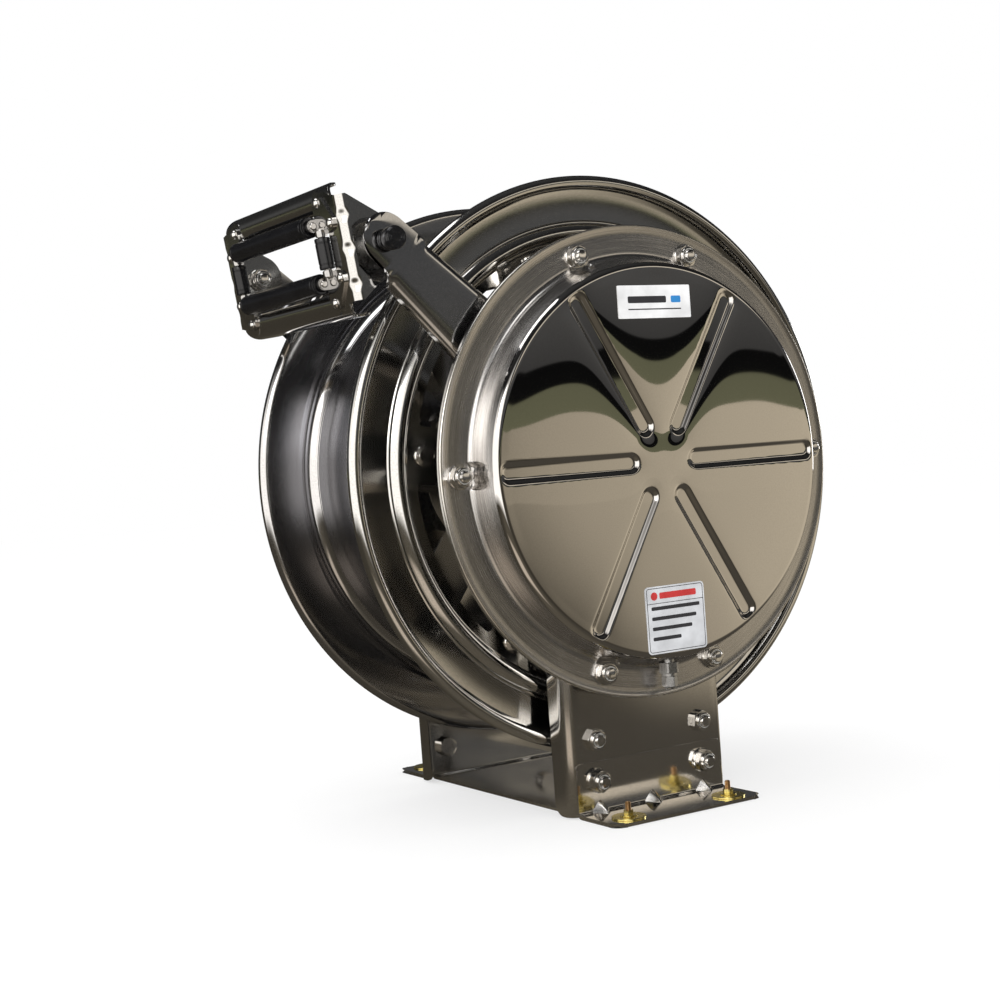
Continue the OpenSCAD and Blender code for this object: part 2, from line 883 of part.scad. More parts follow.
module head_side(side) {
    flat = head_half_w - head_bend;
    cheek_r = 22;
    cheek_h = 40;
    in_head() outward(side) difference() {
        union() {
            face_slab(0, head_t_sheet) {
                translate([window_half_w, -44]) square([flat - window_half_w, 88]);
                for (v = [0, 1]) mirror([0, v])
                    translate([76, window_half_h]) square([flat - 76, 8.5]);
            }
            translate([head_bend, flat, -cheek_h]) linear_extrude(2 * cheek_h)
                rotate(90) quarter_ring(head_bend, head_bend - head_t_sheet);
            slab(head_half_w - head_t_sheet, head_half_w) {
                translate([head_pivot_u, 0]) circle(cheek_r);
                polygon([[head_bend, cheek_h], [head_pivot_u + cheek_r * sin(33), cheek_r * cos(33)],
                    [head_pivot_u + cheek_r * sin(33), -cheek_r * cos(33)], [head_bend, -cheek_h]]);
            }
        }
        translate([head_pivot_u, 0, 0]) rod(bolt_r + fit, head_half_w - 5, head_half_w + 1);
        rivet_holes();
    }
}

module head_near_side() {
    color("dimgray") head_side(NEAR);
}

module head_far_side() {
    color("dimgray") head_side(FAR);
}

module head_cross_plate(up) {
    wide = 97;
    deep = up ? head_top_depth : head_low_depth;
    band_u = head_t_sheet;
    in_head() mirror([0, 0, up ? 0 : 1]) difference() {
        translate([band_u, -wide, head_half_h]) rotate([-90, 0, 0]) linear_extrude(2 * wide)
            angle_section(deep, head_half_h - window_half_h, head_bend, head_t_sheet);
        for (y = [-1, 1]) translate([0, y * wide, head_half_h])
            rotate([45, 0, 0]) cube([3 * head_bend + band_u, 10, 10], center = true);
        rivet_holes();
    }
}

module head_top_plate() {
    color("gray") head_cross_plate(true);
}

module head_bottom_plate() {
    color("gray") head_cross_plate(false);
}

// Saddle over the end of a long axle, running along y
module long_saddle() {
    y0 = long_roller_half + 0.8;
    r = axle_r + clip_t;
    difference() {
        union() {
            translate([-long_roller_u, 0, long_roller_v]) rod(r, y0, y0 + saddle_len);
            translate([-long_roller_u, y0, long_roller_v - r]) cube([long_roller_u, saddle_len, 2 * r]);
        }
        translate([-long_roller_u, 0, long_roller_v]) rod(axle_r + fit, y0 - 1, y0 + saddle_len + 1);
    }
}

// Saddle over the end of a short axle, open towards the face
module short_saddle() {
    v0 = short_roller_half + 0.8;
    r = axle_r + clip_t - 0.4;
    difference() {
        union() {
            translate([-short_roller_u, short_roller_y, v0]) cylinder(r = r, h = saddle_len);
            translate([-short_roller_u, short_roller_y - r, v0]) cube([short_roller_u, 2 * r, saddle_len]);
        }
        translate([-short_roller_u, short_roller_y, v0 - 1]) cylinder(r = axle_r + fit, h = 30);
        translate([-short_roller_u, short_roller_y - axle_r - fit, v0 - 1])
            cube([short_roller_u + 1, 2 * (axle_r + fit), 30]);
    }
}

module corner_clip() {
    difference() {
        face_slab(-clip_t, 0) polygon([[76, 14.6], [95, 14.6], [106, 17], [107, 25], [90, 45], [79, 45], [76, 38]]);
        translate([-clip_t - 1, short_roller_y - axle_r - fit, 0])
            cube([clip_t + 2, 2 * (axle_r + fit), short_roller_half + 8]);
    }
    long_saddle();
    short_saddle();
}

module roller_clips() {
    color("silver") in_head() difference() {
        for (y = [0, 1], v = [0, 1]) mirror([0, y, 0]) mirror([0, 0, v]) corner_clip();
        rivet_holes();
    }
}

module rivet(tail_u) {
    translate([0, 0, -clip_t]) {
        cylinder(r = rivet_r, h = clip_t + tail_u + 1);
        intersection() {
            sphere(4);
            translate([0, 0, -2.5]) cube([10, 10, 5], center = true);
        }
    }
    translate([0, 0, tail_u]) cylinder(r = 3.4, h = 1.4);
}

module clip_rivets() {
    color("lightgray") in_head() {
        at_rivets(long_rivet) rivet(2 * head_t_sheet);
        at_rivets(short_rivet) rivet(head_t_sheet);
    }
}

module roller_axles() {
    long_end = long_roller_half + saddle_len + 1.5;
    short_end = short_roller_half + saddle_len + 1.5;
    color("silver") in_head() {
        for (v = [-1, 1]) translate([-long_roller_u, 0, v * long_roller_v]) rod(axle_r, -long_end, long_end);
        for (y = [-1, 1]) translate([-short_roller_u, y * short_roller_y, -short_end])
            cylinder(r = axle_r, h = 2 * short_end);
    }
}

module head_clamp_nut() {
    color("lightgray") in_head() outward(NEAR) translate([head_pivot_u, 0, 0])
        hex_nut(hex_af, bolt_r, head_half_w - head_t_sheet - nut_t, head_half_w - head_t_sheet);
}

module head_pivot_bolt() {
    inner = head_half_w - head_t_sheet;
    arm_out = far_arm_y;
    color("lightgray") in_head() translate([head_pivot_u, 0, 0]) {
        rod(bolt_r, inner - nut_t - 4, arm_out + 1);
        hex(hex_af, arm_out, arm_out + head_t);
        hex(hex_af, inner - nut_t, inner);
    }
}

module roller(r, half_len) {
    rotate_extrude() {
        translate([axle_r + fit, -half_len]) square([r - axle_r - fit - 1, 2 * half_len]);
        translate([axle_r + fit, -half_len + 1]) square([r - axle_r - fit, 2 * half_len - 2]);
    }
}

module long_roller(v) {
    color("#202020") in_head() translate([-long_roller_u, 0, v * long_roller_v])
        rotate([90, 0, 0]) roller(long_roller_r, long_roller_half);
}

module short_roller(y) {
    color("#202020") in_head() translate([-short_roller_u, y * short_roller_y, 0])
        roller(short_roller_r, short_roller_half);
}

module top_roller() {
    long_roller(1);
}

module bottom_roller() {
    long_roller(-1);
}

module near_roller() {
    short_roller(NEAR);
}

module far_roller() {
    short_roller(FAR);
}

module clamp_knob() {
    stud_in = head_half_w - head_t_sheet - nut_t - 3;
    color("#181818") outward(NEAR) at_axis() at_xz(arm_pivot) {
        rod(bolt_r, stud_in, near_arm_y + 2);
        rod(8.4, near_arm_y + 0.2, near_arm_y + 3.2);
        rod(7, near_arm_y + 3, near_arm_y + 6);
        rod(knob_r, near_arm_y + 5.5, near_arm_y + 14.8);
        rod(knob_r - 1, near_arm_y + 14, near_arm_y + 16);
    }
}

module pivot_spacer() {
    arm_in = near_arm_y - arm_t - fit;
    color("gray") outward(NEAR) at_axis() at_xz(arm_pivot) {
        tube(9, bolt_r + fit, head_half_w + fit, arm_in);
        tube(arm_end_r - 0.9, bolt_r + fit, arm_in - 3, arm_in);
    }
}

base_plate();
near_pedestal();
far_pedestal();
near_foot_bracket();
far_foot_bracket();
base_bolts();
base_washers();
base_nuts();
near_arm();
far_arm();
arm_bolts();
arm_nuts();
far_arm_spacers();
near_bearing_housing();
far_bearing_housing();
near_bush();
far_bush();
bearing_bolts();
case_back_plate();
case_cover();
case_bolts();
case_washers();
case_nuts();
case_spacers();
spring_anchor_bolt();
power_spring();
name_plate();
notice_plate();
pawl_pivot_bolt();
pawl_spacer();
pawl_spring();
near_flange();
far_flange();
drum_core();
drum_shaft();
drum_hubs();
drum_tie_bolts();
drum_tie_nuts();
spring_arbor();
ratchet_wheel();
outlet_pipe();
hose_outlet();
swivel_body();
swivel_seal();
head_near_side();
head_far_side();
head_top_plate();
head_bottom_plate();
roller_clips();
clip_rivets();
roller_axles();
head_clamp_nut();
head_pivot_bolt();
top_roller();
bottom_roller();
near_roller();
far_roller();
clamp_knob();
pivot_spacer();
pawl();
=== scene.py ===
import json
import math

import bpy
import numpy as np
from mathutils import Matrix, Vector, geometry


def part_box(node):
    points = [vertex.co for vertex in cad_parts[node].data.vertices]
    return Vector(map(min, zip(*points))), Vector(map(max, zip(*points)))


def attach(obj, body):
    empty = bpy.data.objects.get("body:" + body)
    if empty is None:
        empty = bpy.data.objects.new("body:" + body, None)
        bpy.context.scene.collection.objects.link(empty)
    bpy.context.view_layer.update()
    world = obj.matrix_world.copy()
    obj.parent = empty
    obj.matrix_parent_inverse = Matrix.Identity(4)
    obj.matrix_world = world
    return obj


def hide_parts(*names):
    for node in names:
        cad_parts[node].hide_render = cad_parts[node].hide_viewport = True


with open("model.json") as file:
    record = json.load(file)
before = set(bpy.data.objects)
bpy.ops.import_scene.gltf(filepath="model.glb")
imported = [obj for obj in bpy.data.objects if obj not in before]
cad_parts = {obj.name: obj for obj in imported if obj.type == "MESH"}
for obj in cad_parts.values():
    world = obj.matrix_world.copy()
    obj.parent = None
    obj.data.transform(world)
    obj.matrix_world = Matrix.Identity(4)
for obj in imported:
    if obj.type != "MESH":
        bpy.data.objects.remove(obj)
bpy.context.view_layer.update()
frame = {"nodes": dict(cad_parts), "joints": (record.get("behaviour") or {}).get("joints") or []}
JOINTS = {j["name"]: j for j in frame["joints"]}
NODES = frame["nodes"]
MM = 0.001
AXIS_H = JOINTS["drum_spin"]["pos_m"][2] * 1000
PIVOT = [c * 1000 for c in JOINTS["head_tilt"]["pos_m"]]


def box_mm(node):
    lo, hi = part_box(node)
    return [c * 1000 for c in lo], [c * 1000 for c in hi]


# ------------------------------------------------------------------ materials

def new_material(name):
    mat = bpy.data.materials.new(name)
    mat.use_nodes = True
    tree = mat.node_tree
    tree.nodes.clear()
    out = tree.nodes.new("ShaderNodeOutputMaterial")
    shader = tree.nodes.new("ShaderNodeBsdfPrincipled")
    tree.links.new(shader.outputs[0], out.inputs[0])
    return mat, tree, shader


def add(tree, kind, **values):
    node = tree.nodes.new(kind)
    for key, value in values.items():
        if key.startswith("in_"):
            node.inputs[key[3:].replace("_", " ")].default_value = value
        else:
            setattr(node, key, value)
    return node


def ramp(tree, source, stops):
    node = tree.nodes.new("ShaderNodeValToRGB")
    elements = node.color_ramp.elements
    while len(elements) < len(stops):
        elements.new(0.5)
    for element, (place, colour) in zip(elements, stops):
        element.position = place
        element.color = (*colour, 1) if len(colour) == 3 else colour
    tree.links.new(source, node.inputs[0])
    return node


def grey(v):
    return (v, v, v)


def map_range(tree, source, lo, hi, out_lo, out_hi):
    node = add(tree, "ShaderNodeMapRange")
    node.inputs[1].default_value = lo
    node.inputs[2].default_value = hi
    node.inputs[3].default_value = out_lo
    node.inputs[4].default_value = out_hi
    tree.links.new(source, node.inputs[0])
    return node.outputs[0]


def object_coords(tree, scale=(1, 1, 1), turn=(0, 0, 0), shift=(0, 0, 0)):
    coords = add(tree, "ShaderNodeTexCoord")
    mapping = add(tree, "ShaderNodeMapping")
    mapping.inputs["Scale"].default_value = scale
    mapping.inputs["Rotation"].default_value = turn
    mapping.inputs["Location"].default_value = shift
    tree.links.new(coords.outputs["Object"], mapping.inputs[0])
    return mapping.outputs[0]


def noise_of(tree, vector, scale, detail=3, rough=0.5):
    node = add(tree, "ShaderNodeTexNoise")
    node.inputs["Scale"].default_value = scale
    node.inputs["Detail"].default_value = detail
    node.inputs["Roughness"].default_value = rough
    tree.links.new(vector, node.inputs["Vector"])
    return node.outputs[0]


def bump(tree, shader, height, strength, distance):
    node = add(tree, "ShaderNodeBump")
    node.inputs["Strength"].default_value = strength
    node.inputs["Distance"].default_value = distance
    tree.links.new(height, node.inputs["Height"])
    tree.links.new(node.outputs[0], shader.inputs["Normal"])
    return node


def sheet_metal(name, colour, rough, grain=0.04, waves=0.0, smudge=0.06, lean=0.0):
    """Polished sheet: fine speckle in colour and roughness, faint handling marks, slow waves in the surface.
    lean tips upright faces over by that slope, as a bend a little tighter than square does."""
    mat, tree, shader = new_material(name)
    shader.inputs["Metallic"].default_value = 1.0
    coords = object_coords(tree)
    speckle = noise_of(tree, coords, 900, 2, 0.6)
    cloud = noise_of(tree, coords, 9, 4, 0.55)
    lo = tuple(c * (1 - grain * 2) for c in colour)
    hi = tuple(min(1, c * (1 + grain * 2)) for c in colour)
    tint = ramp(tree, speckle, [(0.3, lo), (0.7, hi)])
    tree.links.new(tint.outputs[0], shader.inputs["Base Color"])
    tree.links.new(map_range(tree, cloud, 0.3, 0.7, rough, rough + smudge), shader.inputs["Roughness"])
    if waves:
        slow = add(tree, "ShaderNodeMath", operation="MULTIPLY")
        slow.inputs[1].default_value = waves
        tree.links.new(noise_of(tree, coords, 7, 1, 0.4), slow.inputs[0])
        split = add(tree, "ShaderNodeSeparateXYZ")
        tree.links.new(coords, split.inputs[0])
        height = add(tree, "ShaderNodeMath", operation="MULTIPLY_ADD")
        height.inputs[1].default_value = lean
        tree.links.new(split.outputs[2], height.inputs[0])
        tree.links.new(slow.outputs[0], height.inputs[2])
        bump(tree, shader, height.outputs[0], 1.0, 1.0)
    return mat


def radial_brushed(name, colour, rough, centre=(0, 0), strength=0.5):
    """Sheet brushed in circles round the drum axis."""
    mat, tree, shader = new_material(name)
    shader.inputs["Metallic"].default_value = 1.0
    coords = add(tree, "ShaderNodeTexCoord")
    split = add(tree, "ShaderNodeSeparateXYZ")
    tree.links.new(coords.outputs["Object"], split.inputs[0])
    dz = add(tree, "ShaderNodeMath", operation="SUBTRACT")
    tree.links.new(split.outputs[2], dz.inputs[0])
    dz.inputs[1].default_value = AXIS_H * MM
    flat = add(tree, "ShaderNodeCombineXYZ")
    tree.links.new(split.outputs[0], flat.inputs[0])
    tree.links.new(dz.outputs[0], flat.inputs[1])
    length = add(tree, "ShaderNodeVectorMath", operation="LENGTH")
    tree.links.new(flat.outputs[0], length.inputs[0])
    turn = add(tree, "ShaderNodeMath", operation="ARCTAN2")
    tree.links.new(dz.outputs[0], turn.inputs[0])
    tree.links.new(split.outputs[0], turn.inputs[1])
    polar = add(tree, "ShaderNodeCombineXYZ")
    radial = add(tree, "ShaderNodeMath", operation="MULTIPLY")
    tree.links.new(length.outputs["Value"], radial.inputs[0])
    radial.inputs[1].default_value = 2600
    around = add(tree, "ShaderNodeMath", operation="MULTIPLY")
    tree.links.new(turn.outputs[0], around.inputs[0])
    around.inputs[1].default_value = 2.2
    depth = add(tree, "ShaderNodeMath", operation="MULTIPLY")
    tree.links.new(split.outputs[1], depth.inputs[0])
    depth.inputs[1].default_value = 1800
    tree.links.new(radial.outputs[0], polar.inputs[0])
    tree.links.new(around.outputs[0], polar.inputs[1])
    tree.links.new(depth.outputs[0], polar.inputs[2])
    streak = noise_of(tree, polar.outputs[0], 1.0, 3, 0.65)
    cloud = noise_of(tree, object_coords(tree), 14, 4, 0.6)
    tint = ramp(tree, streak, [(0.28, tuple(c * 0.72 for c in colour)), (0.72, tuple(min(1, c * 1.18) for c in colour))])
    tree.links.new(tint.outputs[0], shader.inputs["Base Color"])
    mixed = add(tree, "ShaderNodeMath", operation="MULTIPLY")
    tree.links.new(streak, mixed.inputs[0])
    tree.links.new(cloud, mixed.inputs[1])
    tree.links.new(map_range(tree, mixed.outputs[0], 0.1, 0.45, rough * 0.75, rough * 1.3), shader.inputs["Roughness"])
    shader.inputs["Anisotropic"].default_value = 0.55
    tangent = add(tree, "ShaderNodeTangent", direction_type="RADIAL", axis="Y")
    tree.links.new(tangent.outputs[0], shader.inputs["Tangent"])
    bump(tree, shader, streak, strength, 0.00006)
    return mat


def plastic(name, colour, rough, grain=400, coat=0.0):
    mat, tree, shader = new_material(name)
    coords = object_coords(tree)
    fine = noise_of(tree, coords, grain, 3, 0.6)
    slow = noise_of(tree, coords, 40, 3, 0.5)
    tint = ramp(tree, slow, [(0.3, tuple(c * 0.8 for c in colour)), (0.7, tuple(min(1, c * 1.3) for c in colour))])
    tree.links.new(tint.outputs[0], shader.inputs["Base Color"])
    tree.links.new(map_range(tree, slow, 0.3, 0.7, rough * 0.85, rough * 1.2), shader.inputs["Roughness"])
    shader.inputs["Coat Weight"].default_value = coat
    bump(tree, shader, fine, 0.12, 0.00008)
    return mat


def turned_metal(name, colour, rough, streaks=(300, 300, 3000)):
    """Machined or drawn metal with fine tool lines."""
    mat, tree, shader = new_material(name)
    shader.inputs["Metallic"].default_value = 1.0
    fine = noise_of(tree, object_coords(tree, scale=streaks), 1.0, 3, 0.6)
    cloud = noise_of(tree, object_coords(tree), 60, 3, 0.6)
    tint = ramp(tree, cloud, [(0.3, tuple(c * 0.8 for c in colour)), (0.7, tuple(min(1, c * 1.1) for c in colour))])
    tree.links.new(tint.outputs[0], shader.inputs["Base Color"])
    tree.links.new(map_range(tree, fine, 0.3, 0.7, rough * 0.8, rough * 1.3), shader.inputs["Roughness"])
    bump(tree, shader, fine, 0.25, 0.00005)
    return mat


M = {
    "mirror": sheet_metal("mirror_stainless", (0.74, 0.72, 0.70), 0.012, grain=0.015, smudge=0.012),
    # painted shade: the drum core's stainless is darkened to stand for the shade it sits in between the flanges
    "core": sheet_metal("drum_core_stainless_painted_shade", (0.22, 0.22, 0.235), 0.22, smudge=0.08),
    # far flange: a rougher copy of the flange stainless with a darker colour, the darker colour is painted shade on its
    # inside face
    "satin": sheet_metal("satin_flange_stainless", (0.66, 0.65, 0.65), 0.09, smudge=0.05),
    "flange": sheet_metal("flange_stainless", (0.70, 0.69, 0.67), 0.07, smudge=0.05),
    "post": sheet_metal("pedestal_stainless", (0.70, 0.68, 0.65), 0.08, waves=0.0002),
    "foot": sheet_metal("foot_stainless", (0.78, 0.76, 0.73), 0.07, waves=0.00006, lean=0.035),
    "arm": sheet_metal("arm_stainless", (0.60, 0.60, 0.61), 0.075, waves=0.00015),
    "head": sheet_metal("head_stainless", (0.66, 0.65, 0.63), 0.07, waves=0.00015),
    # painted shade: the clip stainless is darker than the head it sits on, standing for the shade on the clips
    "clip": sheet_metal("clip_stainless_shaded", (0.52, 0.51, 0.50), 0.10, waves=0.0001),
    "rim": radial_brushed("brushed_rim", (0.66, 0.64, 0.62), 0.24),
    # painted highlight: the rolled lip of the rim is a lighter copy of the brushed rim metal, standing for the light it
    # catches
    "edge": radial_brushed("brushed_edge_lit", (0.80, 0.77, 0.72), 0.22, strength=0.3),
    "bright": turned_metal("bright_fasteners", (0.80, 0.78, 0.75), 0.13),
    "shaft": turned_metal("turned_steel", (0.60, 0.60, 0.60), 0.28, streaks=(200, 4000, 200)),
    "iron": turned_metal("bearing_iron", (0.20, 0.20, 0.21), 0.45, streaks=(500, 500, 500)),
    "bronze": turned_metal("bearing_bronze", (0.60, 0.42, 0.20), 0.3, streaks=(200, 4000, 200)),
    "spring": turned_metal("blued_strip", (0.16, 0.18, 0.24), 0.32, streaks=(300, 2500, 300)),
    "zinc": turned_metal("yellow_zinc", (0.78, 0.66, 0.25), 0.22),
    "copper": turned_metal("worn_zinc", (0.72, 0.45, 0.22), 0.3),
    "black": plastic("black_roller_plastic", (0.005, 0.005, 0.006), 0.22),
    "knob": plastic("black_knob_plastic", (0.006, 0.006, 0.007), 0.20),
    "rubber": plastic("seal_rubber", (0.012, 0.012, 0.012), 0.6),
    "insert": plastic("nut_insert", (0.55, 0.54, 0.50), 0.45),
    "paper": plastic("white_label_film", (0.86, 0.86, 0.86), 0.32, coat=0.3),
    "paper_grey": plastic("grey_label_film", (0.60, 0.61, 0.63), 0.32, coat=0.3),
    "ink": plastic("dark_label_ink", (0.03, 0.03, 0.035), 0.35),
    "ink_blue": plastic("blue_label_ink", (0.02, 0.22, 0.55), 0.35),
    "ink_red": plastic("red_label_ink", (0.55, 0.03, 0.03), 0.35),
}


# ------------------------------------------------------------------ mesh tools

def finish_piece(obj, body, stands_for=(), bevel=0.0, segments=2, angle=35):
    if bevel:
        mod = obj.modifiers.new("bevel", "BEVEL")
        mod.width = bevel * MM
        mod.segments = segments
        mod.limit_method = "ANGLE"
        mod.angle_limit = math.radians(angle)
    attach(obj, body)
    if stands_for:
        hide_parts(*stands_for)
    return obj


def mesh_object(name, verts, faces, materials, indices=None, sharp=40):
    """Verts in millimetres in the row frame."""
    mesh = bpy.data.meshes.new(name)
    mesh.from_pydata([tuple(c * MM for c in v) for v in verts], [], [tuple(f) for f in faces])
    for mat in materials:
        mesh.materials.append(mat)
    if indices is not None:
        mesh.polygons.foreach_set("material_index", indices)
    mesh.polygons.foreach_set("use_smooth", [True] * len(mesh.polygons))
    mesh.set_sharp_from_angle(angle=math.radians(sharp))
    mesh.validate()
    mesh.update()
    obj = bpy.data.objects.new(name, mesh)
    bpy.context.scene.collection.objects.link(obj)
    return obj


class Builder:
    """Collects several solids into one mesh."""

    def __init__(self):
        self.verts, self.faces, self.index = [], [], []

    def add(self, verts, faces, index=0):
        base = len(self.verts)
        self.verts.extend([tuple(v) for v in verts])
        self.faces.extend([tuple(i + base for i in f) for f in faces])
        self.index.extend([index] * len(faces))

    def make(self, name, materials, sharp=40):
        return mesh_object(name, self.verts, self.faces, materials, self.index, sharp)


def grid_faces(rows, cols, close_rows=False, close_cols=True, flip=False):
    faces = []
    for i in range(rows if close_rows else rows - 1):
        for j in range(cols if close_cols else cols - 1):
            a = i * cols + j
            b = i * cols + (j + 1) % cols
            c = ((i + 1) % rows) * cols + (j + 1) % cols
            d = ((i + 1) % rows) * cols + j
            faces.append((a, d, c, b) if flip else (a, b, c, d))
    return faces


def lathe(profile, place, segments=96, closed=True, caps=False):
    """profile: (radius, along). place(radius, angle, along) gives a point."""
    verts = []
    for r, t in profile:
        for j in range(segments):
            verts.append(place(r, 2 * math.pi * j / segments, t))
    faces = grid_faces(len(profile), segments, close_rows=closed)
    if caps:
        faces.append(tuple(range(segments))[::-1])
        faces.append(tuple(range((len(profile) - 1) * segments, len(profile) * segments)))
    return verts, faces


def on_y(cx=0.0, cz=None, side=1):
    """Places a lathe round an axis along Y; along is counted outwards from the drum centre on that side."""
    cz = AXIS_H if cz is None else cz
    return lambda r, a, t: (cx + r * math.cos(a), side * t, cz + r * math.sin(a))


def arc(cx, cy, r, a0, a1, steps):
    return [(cx + r * math.cos(math.radians(a0 + (a1 - a0) * i / steps)),
             cy + r * math.sin(math.radians(a0 + (a1 - a0) * i / steps))) for i in range(steps + 1)]


def plate(builder, outer, holes, place, low, high, index=0):
    """Flat plate from 2-D loops, between heights low and high. place(a, b, h) gives a point."""
    loops = [outer] + list(holes)
    flat = [Vector((p[0], p[1], 0)) for loop in loops for p in loop]
    tris = geometry.tessellate_polygon([[Vector((p[0], p[1], 0)) for p in loop] for loop in loops])
    count = len(flat)
    verts = [place(p.x, p.y, low) for p in flat] + [place(p.x, p.y, high) for p in flat]
    faces = []
    for t in tris:
        faces.append(tuple(t)[::-1])
        faces.append(tuple(i + count for i in t))
    start = 0
    for loop in loops:
        n = len(loop)
        for i in range(n):
            a, b = start + i, start + (i + 1) % n
            faces.append((a, b, b + count, a + count))
        start += n
    builder.add(verts, faces, index)


def circle_pts(cx, cy, r, n=32):
    return [(cx + r * math.cos(2 * math.pi * i / n), cy + r * math.sin(2 * math.pi * i / n)) for i in range(n)]


def rounded(points, radii, steps=5):
    """Polygon with rounded corners."""
    out = []
    n = len(points)
    for i in range(n):
        p0, p1, p2 = (Vector(points[(i + k - 1) % n]) for k in range(3))
        r = radii[i] if isinstance(radii, (list, tuple)) else radii
        a, b = (p0 - p1), (p2 - p1)
        la, lb = a.length, b.length
        if r <= 0 or la < 1e-6 or lb < 1e-6:
            out.append(tuple(p1))
            continue
        a.normalize()
        b.normalize()
        half = math.acos(max(-1, min(1, a.dot(b)))) / 2
        if half > math.radians(89):
            out.append(tuple(p1))
            continue
        reach = min(r / math.tan(half), la * 0.49, lb * 0.49)
        r = reach * math.tan(half)
        start, end = p1 + a * reach, p1 + b * reach
        centre = p1 + (a + b).normalized() * (r / math.sin(half))
        a0 = math.atan2(start.y - centre.y, start.x - centre.x)
        a1 = math.atan2(end.y - centre.y, end.x - centre.x)
        while a1 - a0 > math.pi:
            a1 -= 2 * math.pi
        while a1 - a0 < -math.pi:
            a1 += 2 * math.pi
        for k in range(steps + 1):
            t = a0 + (a1 - a0) * k / steps
            out.append((centre.x + r * math.cos(t), centre.y + r * math.sin(t)))
    return out


# ------------------------------------------------------------------ fasteners

def hex_ring(af, turn, limit=None, n=48):
    pts = []
    for j in range(n):
        a = 2 * math.pi * j / n
        local = (a - turn) % (math.pi / 3) - math.pi / 6
        r = af / 2 / math.cos(local)
        pts.append((min(r, limit) if limit else r, a, r))
    return pts


def hex_body(builder, af, place, t0, t1, hole=0.0, turn=0.0, crown=True, foot=False, index=0):
    """Hexagon with rounded corners at the outer end, along t0 to t1."""
    n = 48
    limit = af / 2 * 1.03
    rows = []

    def row(points, t_of):
        rows.append([place(r, a, t_of(full)) for r, a, full in points])

    sharp = hex_ring(af, turn, n=n)
    cut = hex_ring(af, turn, limit, n)
    drop = 1 if t1 > t0 else -1
    if hole:
        row([(hole, a, r) for _, a, r in sharp], lambda f: t0)
    if foot:
        row(cut, lambda f: t0)
        row(sharp, lambda f: t0 + drop * max(0, f - limit) * 0.6)
    else:
        row(sharp, lambda f: t0)
    if crown:
        row(sharp, lambda f: t1 - drop * max(0, f - limit) * 0.6)
        row(cut, lambda f: t1)
    else:
        row(sharp, lambda f: t1)
    inner = af / 2 * 0.9
    row([(inner, a, r) for _, a, r in sharp], lambda f: t1)
    if hole:
        row([(hole, a, r) for _, a, r in sharp], lambda f: t1)
    verts = [v for r in rows for v in r]
    faces = grid_faces(len(rows), n, close_rows=bool(hole))
    if not hole:
        faces.append(tuple(range(n))[::-1])
        faces.append(tuple(range((len(rows) - 1) * n, len(rows) * n)))
    builder.add(verts, faces, index)


def thread(builder, r, place, t0, t1, pitch=1.5, depth=0.55, index=0, tip=1.0):
    """Threaded stud end with a helical groove and a chamfered tip."""
    n = 36
    length = abs(t1 - t0)
    sign = 1 if t1 > t0 else -1
    rows = []
    steps = max(4, int(length / pitch * 6))
    for i in range(steps + 1):
        t = length * i / steps
        ring = []
        for j in range(n):
            a = 2 * math.pi * j / n
            phase = (t / pitch - a / (2 * math.pi)) % 1
            wave = abs(phase * 2 - 1)
            end = max(0, t - (length - tip))
            ring.append(place(r - depth * wave - end * 0.8, a, t0 + sign * t))
        rows.append(ring)
    verts = [v for ring in rows for v in ring]
    faces = grid_faces(len(rows), n, close_rows=False)
    faces.append(tuple(range(n))[::-1])
    faces.append(tuple(range((len(rows) - 1) * n, len(rows) * n)))
    builder.add(verts, faces, index)


def washer(builder, r_out, r_in, place, t0, t1, index=0):
    c = min(0.35, abs(t1 - t0) * 0.3)
    s = 1 if t1 > t0 else -1
    profile = [(r_in, t0), (r_out - c, t0), (r_out, t0 + s * c), (r_out, t1 - s * c), (r_out - c, t1), (r_in, t1)]
    builder.add(*lathe(profile, place, 48), index)


def lock_nut(builder, af, r, place, t0, t1, turn=0.0, insert_index=1):
    """Hex nut with a rounded collar that holds a plastic insert."""
    s = 1 if t1 > t0 else -1
    h = abs(t1 - t0)
    hex_h = h * 0.66
    collar = af / 2 * 0.86
    hex_body(builder, af, place, t0, t0 + s * hex_h, hole=r + 0.1, turn=turn, foot=True)
    profile = [(collar, t0 + s * (hex_h - 0.3)), (collar, t0 + s * (h * 0.86))]
    profile += [(collar - 1.2 + 1.2 * math.cos(math.radians(a)), t0 + s * (h * 0.86 + (h * 0.14) * math.sin(math.radians(a))))
                for a in (30, 60, 90)]
    profile += [(r + 1.3, t0 + s * h), (r + 1.3, t0 + s * (h - 0.5))]
    builder.add(*lathe(profile, place, 48, closed=False), 0)
    builder.add(*lathe([(r + 1.35, t0 + s * (h - 0.45)), (r + 0.2, t0 + s * (h - 0.8)), (r + 0.2, t0 + s * (h - 2))], place, 48, closed=False), insert_index)


# ------------------------------------------------------------------ sizes, some taken from the imported part

WEB = {-1: -box_mm("near_pedestal")[0][1], 1: box_mm("far_pedestal")[1][1]}
SHEET = 2.5
FOOT_T = 3.0
BASE_BOLT_X = 56.0
BASE_BOLT_Z = (29.5, 64.5)
RIM_R = box_mm("case_cover")[1][0]
FACE_Y = -box_mm("case_cover")[0][1]
RIM_Y = 147.0
CASE_BOLT_R = 181.0
CASE_ANGLES = (0, 180, 72, 108, 252, 288)
TIE_R = 178.0
TIE_ANGLES = [54 + 60 * k for k in range(6)]


# ------------------------------------------------------------------ spring case

